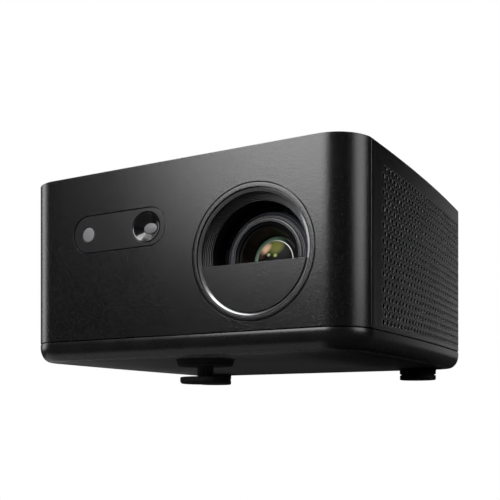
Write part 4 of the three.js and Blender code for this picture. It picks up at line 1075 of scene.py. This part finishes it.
class PROJECTOR_OT_stage(bpy.types.Operator):
    """Sets the camera, the lights, the white surroundings and the pale floor, which also glows faintly under
    the projector as a fill light
    """

    bl_idname = "projector.stage"
    bl_label = "Stage"

    def execute(self, context):
        stage = context.scene.projector_stage
        camera = bpy.data.cameras.new("camera")
        camera.lens, camera.sensor_width = 59.38, 36.0
        camera.shift_x, camera.shift_y = 0.01098, 0.33604
        camera.clip_start = 0.01
        eye = bpy.data.objects.new("camera", camera)
        eye.location = (0.276, -0.5228, -0.0218)
        eye.rotation_euler = (radians(90), 0, radians(28.94))
        context.scene.collection.objects.link(eye)
        context.scene.camera = eye
        context.scene.view_settings.view_transform = "Standard"

        aim = Vector((0, 0, 0.07))

        def lamp(name, at, size, power):
            data = bpy.data.lights.new(name, "AREA")
            data.shape = "RECTANGLE"
            data.size, data.size_y = size
            data.energy = power
            obj = bpy.data.objects.new(name, data)
            obj.location = at
            obj.rotation_euler = (Vector(at) - aim).to_track_quat("Z", "Y").to_euler()
            obj.visible_camera = False
            context.scene.collection.objects.link(obj)

        lamp("key_softbox", (-0.10, -0.63, 0.455), (0.48, 0.48), stage.key_power)
        lamp("left_strip", (-1.29, -0.18, 0.30), (0.55, 1.0), 4.0)
        lamp("right_strip", (1.295, 0.04, 0.56), (0.75, 0.75), 6.0)
        lamp("top_softbox", (-0.1, -0.35, 1.3), (0.9, 0.9), 11.0)
        lamp("rear_softbox", (-0.35, 1.30, 0.75), (0.6, 0.6), 5.0)

        world = bpy.data.worlds.new("surroundings")
        context.scene.world = world
        finish = Finish(world)
        where = finish.node("ShaderNodeTexCoord", output="Generated")
        split = finish.node("ShaderNodeSeparateXYZ", {}, {0: where}).socket.node
        behind = Wire(finish, split.outputs[1]).clip(0.90, 1.0)
        seen = finish.node("ShaderNodeLightPath", output="Is Camera Ray")
        strength = seen * 1.0 + (1 - seen) * (0.01 + 0.44 * behind)
        shade = finish.node("ShaderNodeBackground", {}, {"Color": (1, 1, 1, 1), "Strength": strength})
        finish.node("ShaderNodeOutputWorld", {}, {"Surface": shade})

        mesh = bpy.data.meshes.new("floor")
        reach = 3.0
        corners = [(-reach, -reach, 0), (reach, -reach, 0), (reach, reach, 0), (-reach, reach, 0)]
        mesh.from_pydata(corners, [], [(0, 1, 2, 3)])
        floor = bpy.data.objects.new("floor", mesh)
        context.scene.collection.objects.link(floor)
        finish = start("floor")
        below = finish.node("ShaderNodeNewGeometry", output="Backfacing")
        pale = tuple(stage.floor_colour)
        colour = finish.mix(finish.noise(250, 3).clip(0.3, 0.7), pale, tuple(c * 0.97 for c in pale))
        x, y, _ = finish.axes()
        away = finish.math("MAXIMUM", finish.math("ABSOLUTE", x + 35), finish.math("ABSOLUTE", y))
        # for light that bounces, the floor is pale near the projector and dark further out; the camera sees
        # it evenly pale
        bounced = finish.mix(away.clip(121, 134), (0.36, 0.36, 0.36), (0.05, 0.05, 0.05))
        seen = finish.node("ShaderNodeLightPath", output="Is Camera Ray")
        # a faint glow near the projector, for light that bounces only: a hidden fill that lights the
        # underside
        underside_fill_glow = finish.mix(away.clip(80, 105), (0.075, 0.075, 0.075), (0, 0, 0))
        glow = finish.mix(seen, underside_fill_glow, (0.5, 0.5, 0.5))
        solid = finish.node("ShaderNodeBsdfPrincipled", {}, {
            "Base Color": finish.mix(seen, bounced, colour), "Roughness": 0.9, "Specular IOR Level": 0.0,
            "Emission Color": glow, "Emission Strength": 1.0})
        clear = finish.node("ShaderNodeBsdfTransparent")
        mixed = finish.node("ShaderNodeMixShader", {}, {0: below, 1: solid, 2: clear})
        finish.node("ShaderNodeOutputMaterial", {}, {"Surface": mixed})
        mesh.materials.append(finish.owner)
        return {"FINISHED"}


class PROJECTOR_OT_shell(bpy.types.Operator):
    """Makes the front, top and rear covers and the perforated sides"""

    bl_idname = "projector.shell"
    bl_label = "Shell"

    def execute(self, context):
        front = front_cover_sheets()
        build("front_shell", front, "shell_paint", "front_cover", False, wall=WALL, soften=0.09)
        for side, word in ((1, "right"), (-1, "left")):
            sheets = grille_sheets(side, context.scene.projector)
            node = "side_grille_" + word
            build("perforated_side_" + word, sheets, "shell_paint", node, finish="grille_paint")
        build("top_plate", top_cover_sheets(), "shell_paint", "top_cover")
        place("rear_panel", cleaned_copy("rear_cover"), "shell_paint", "rear_cover", soften=0.4)
        return {"FINISHED"}


class PROJECTOR_OT_base(bpy.types.Operator):
    """Makes the bowl-shaped base and the underside plate"""

    bl_idname = "projector.base"
    bl_label = "Base"

    def execute(self, context):
        build("base_bowl", base_tray_sheets(), "base_plastic", "base_tray")
        build("underside_plate", bottom_plate_sheets(), "plate_plastic", "bottom_plate")
        return {"FINISHED"}


class PROJECTOR_OT_feet(bpy.types.Operator):
    """Makes the screw foot at the front and the rubber feet at the rear"""

    bl_idname = "projector.feet"
    bl_label = "Feet"

    def execute(self, context):
        build("screw_foot_pad", front_pad_sheets(), "rubber", "front_foot_pad", body="foot_pad")
        build("screw_foot_stem", stem_sheets(), "inner_plastic", "front_foot_stem", body="foot_stem")
        for word in ("right", "left"):
            node = "rear_foot_" + word
            build("rubber_foot_" + word, rear_foot_sheets(node), "rubber", node)
        return {"FINISHED"}


class PROJECTOR_OT_lens(bpy.types.Operator):
    """Makes the ring, baffle and shield round the lens, and the lens itself"""

    bl_idname = "projector.lens"
    bl_label = "Lens"

    def execute(self, context):
        front_glass = glass_sheets("front_lens_element", 14.6, 3.0, 1.0)
        rear_glass = glass_sheets("rear_lens_element", 15.0, 2.0, 3.0)
        moving = "front_lens_group"
        build("lens_ring", trim_ring_sheets(), "shell_paint", "lens_trim_ring", finish="ring_paint")
        build("lens_funnel", baffle_sheets(), "inner_plastic", "lens_baffle", finish="baffle_black")
        moon = shield_sheets()
        build("lens_half_moon", moon, "shell_paint", "lens_shield_plate", False, wall=1.6, soften=0.25)
        build("lens_nose", lens_cell_sheets(), "lens_metal", "front_lens_cell", body=moving)
        build("front_glass", front_glass, "lens_glass", "front_lens_element", body=moving)
        build("rear_glass", rear_glass, "lens_glass", "rear_lens_element")
        return {"FINISHED"}


class PROJECTOR_OT_sensors(bpy.types.Operator):
    """Makes the sensor window, its receiver and the camera in its pocket"""

    bl_idname = "projector.sensors"
    bl_label = "Sensor window"

    def execute(self, context):
        eye = dome_sheets(EYE_X, 4.7, 3.15, 4.9, 7.5, 0.5)
        receiver = dome_sheets(RECEIVER_X, 4.5, 4.5, 0.5, 5.0, 0.2)
        build("window_face", window_sheets(), "window_plastic", "sensor_window", False, wall=2.4, soften=0.25)
        build("camera_cup", pocket_sheets(), "base_plastic", "camera_bezel", finish="pocket_black")
        build("camera_lens", eye, "sensor_grey", "camera_eye")
        build("receiver_dome", receiver, "sensor_grey", "receiver_eye")
        return {"FINISHED"}


class PROJECTOR_OT_inside(bpy.types.Operator):
    """Gives the CAD pieces that stay their finishes, and eases the edges of the sockets"""

    bl_idname = "projector.inside"
    bl_label = "Sockets and inside"

    def execute(self, context):
        slots = {part["node"]: part["material_slot"] for part in frame["record"]["subparts"]}
        sockets = ("mains_inlet", "hdmi_socket_1", "hdmi_socket_2", "usb_socket", "audio_socket")
        for node in (*sockets, "power_button"):
            body = "power_button" if node == "power_button" else "root"
            place(node + "_shown", cleaned_copy(node), slots[node], node, body, soften=0.15)
        for node, obj in frame["nodes"].items():
            if obj.hide_render:
                continue
            obj.data.materials.clear()
            obj.data.materials.append(FINISHES[slots[node]])
        return {"FINISHED"}


class PROJECTOR_PT_panel(bpy.types.Panel):
    """Lists the projector's sizes and the pieces that can be built"""

    bl_idname = "PROJECTOR_PT_panel"
    bl_label = "Home projector"
    bl_space_type = "VIEW_3D"
    bl_region_type = "UI"
    bl_category = "Projector"

    def draw(self, context):
        for settings in (context.scene.projector, context.scene.projector_stage):
            for name in settings.__annotations__:
                self.layout.prop(settings, name)
        for operator in OPERATORS:
            self.layout.operator(operator.bl_idname)


SETTINGS = (ProjectorSettings, StageSettings)
OPERATORS = (
    PROJECTOR_OT_stage,
    PROJECTOR_OT_shell,
    PROJECTOR_OT_base,
    PROJECTOR_OT_feet,
    PROJECTOR_OT_lens,
    PROJECTOR_OT_sensors,
    PROJECTOR_OT_inside,
)


def register():
    for cls in (*SETTINGS, *OPERATORS, PROJECTOR_PT_panel):
        bpy.utils.register_class(cls)
    bpy.types.Scene.projector = bpy.props.PointerProperty(type=ProjectorSettings)
    bpy.types.Scene.projector_stage = bpy.props.PointerProperty(type=StageSettings)


def unregister():
    del bpy.types.Scene.projector_stage
    del bpy.types.Scene.projector
    for cls in reversed((*SETTINGS, *OPERATORS, PROJECTOR_PT_panel)):
        bpy.utils.unregister_class(cls)


def main():
    """Builds the whole scene in order."""
    register()
    make_finishes()
    bpy.ops.projector.stage()
    bpy.ops.projector.shell()
    bpy.ops.projector.base()
    bpy.ops.projector.feet()
    bpy.ops.projector.lens()
    bpy.ops.projector.sensors()
    bpy.ops.projector.inside()


if __name__ == "__main__":
    main()
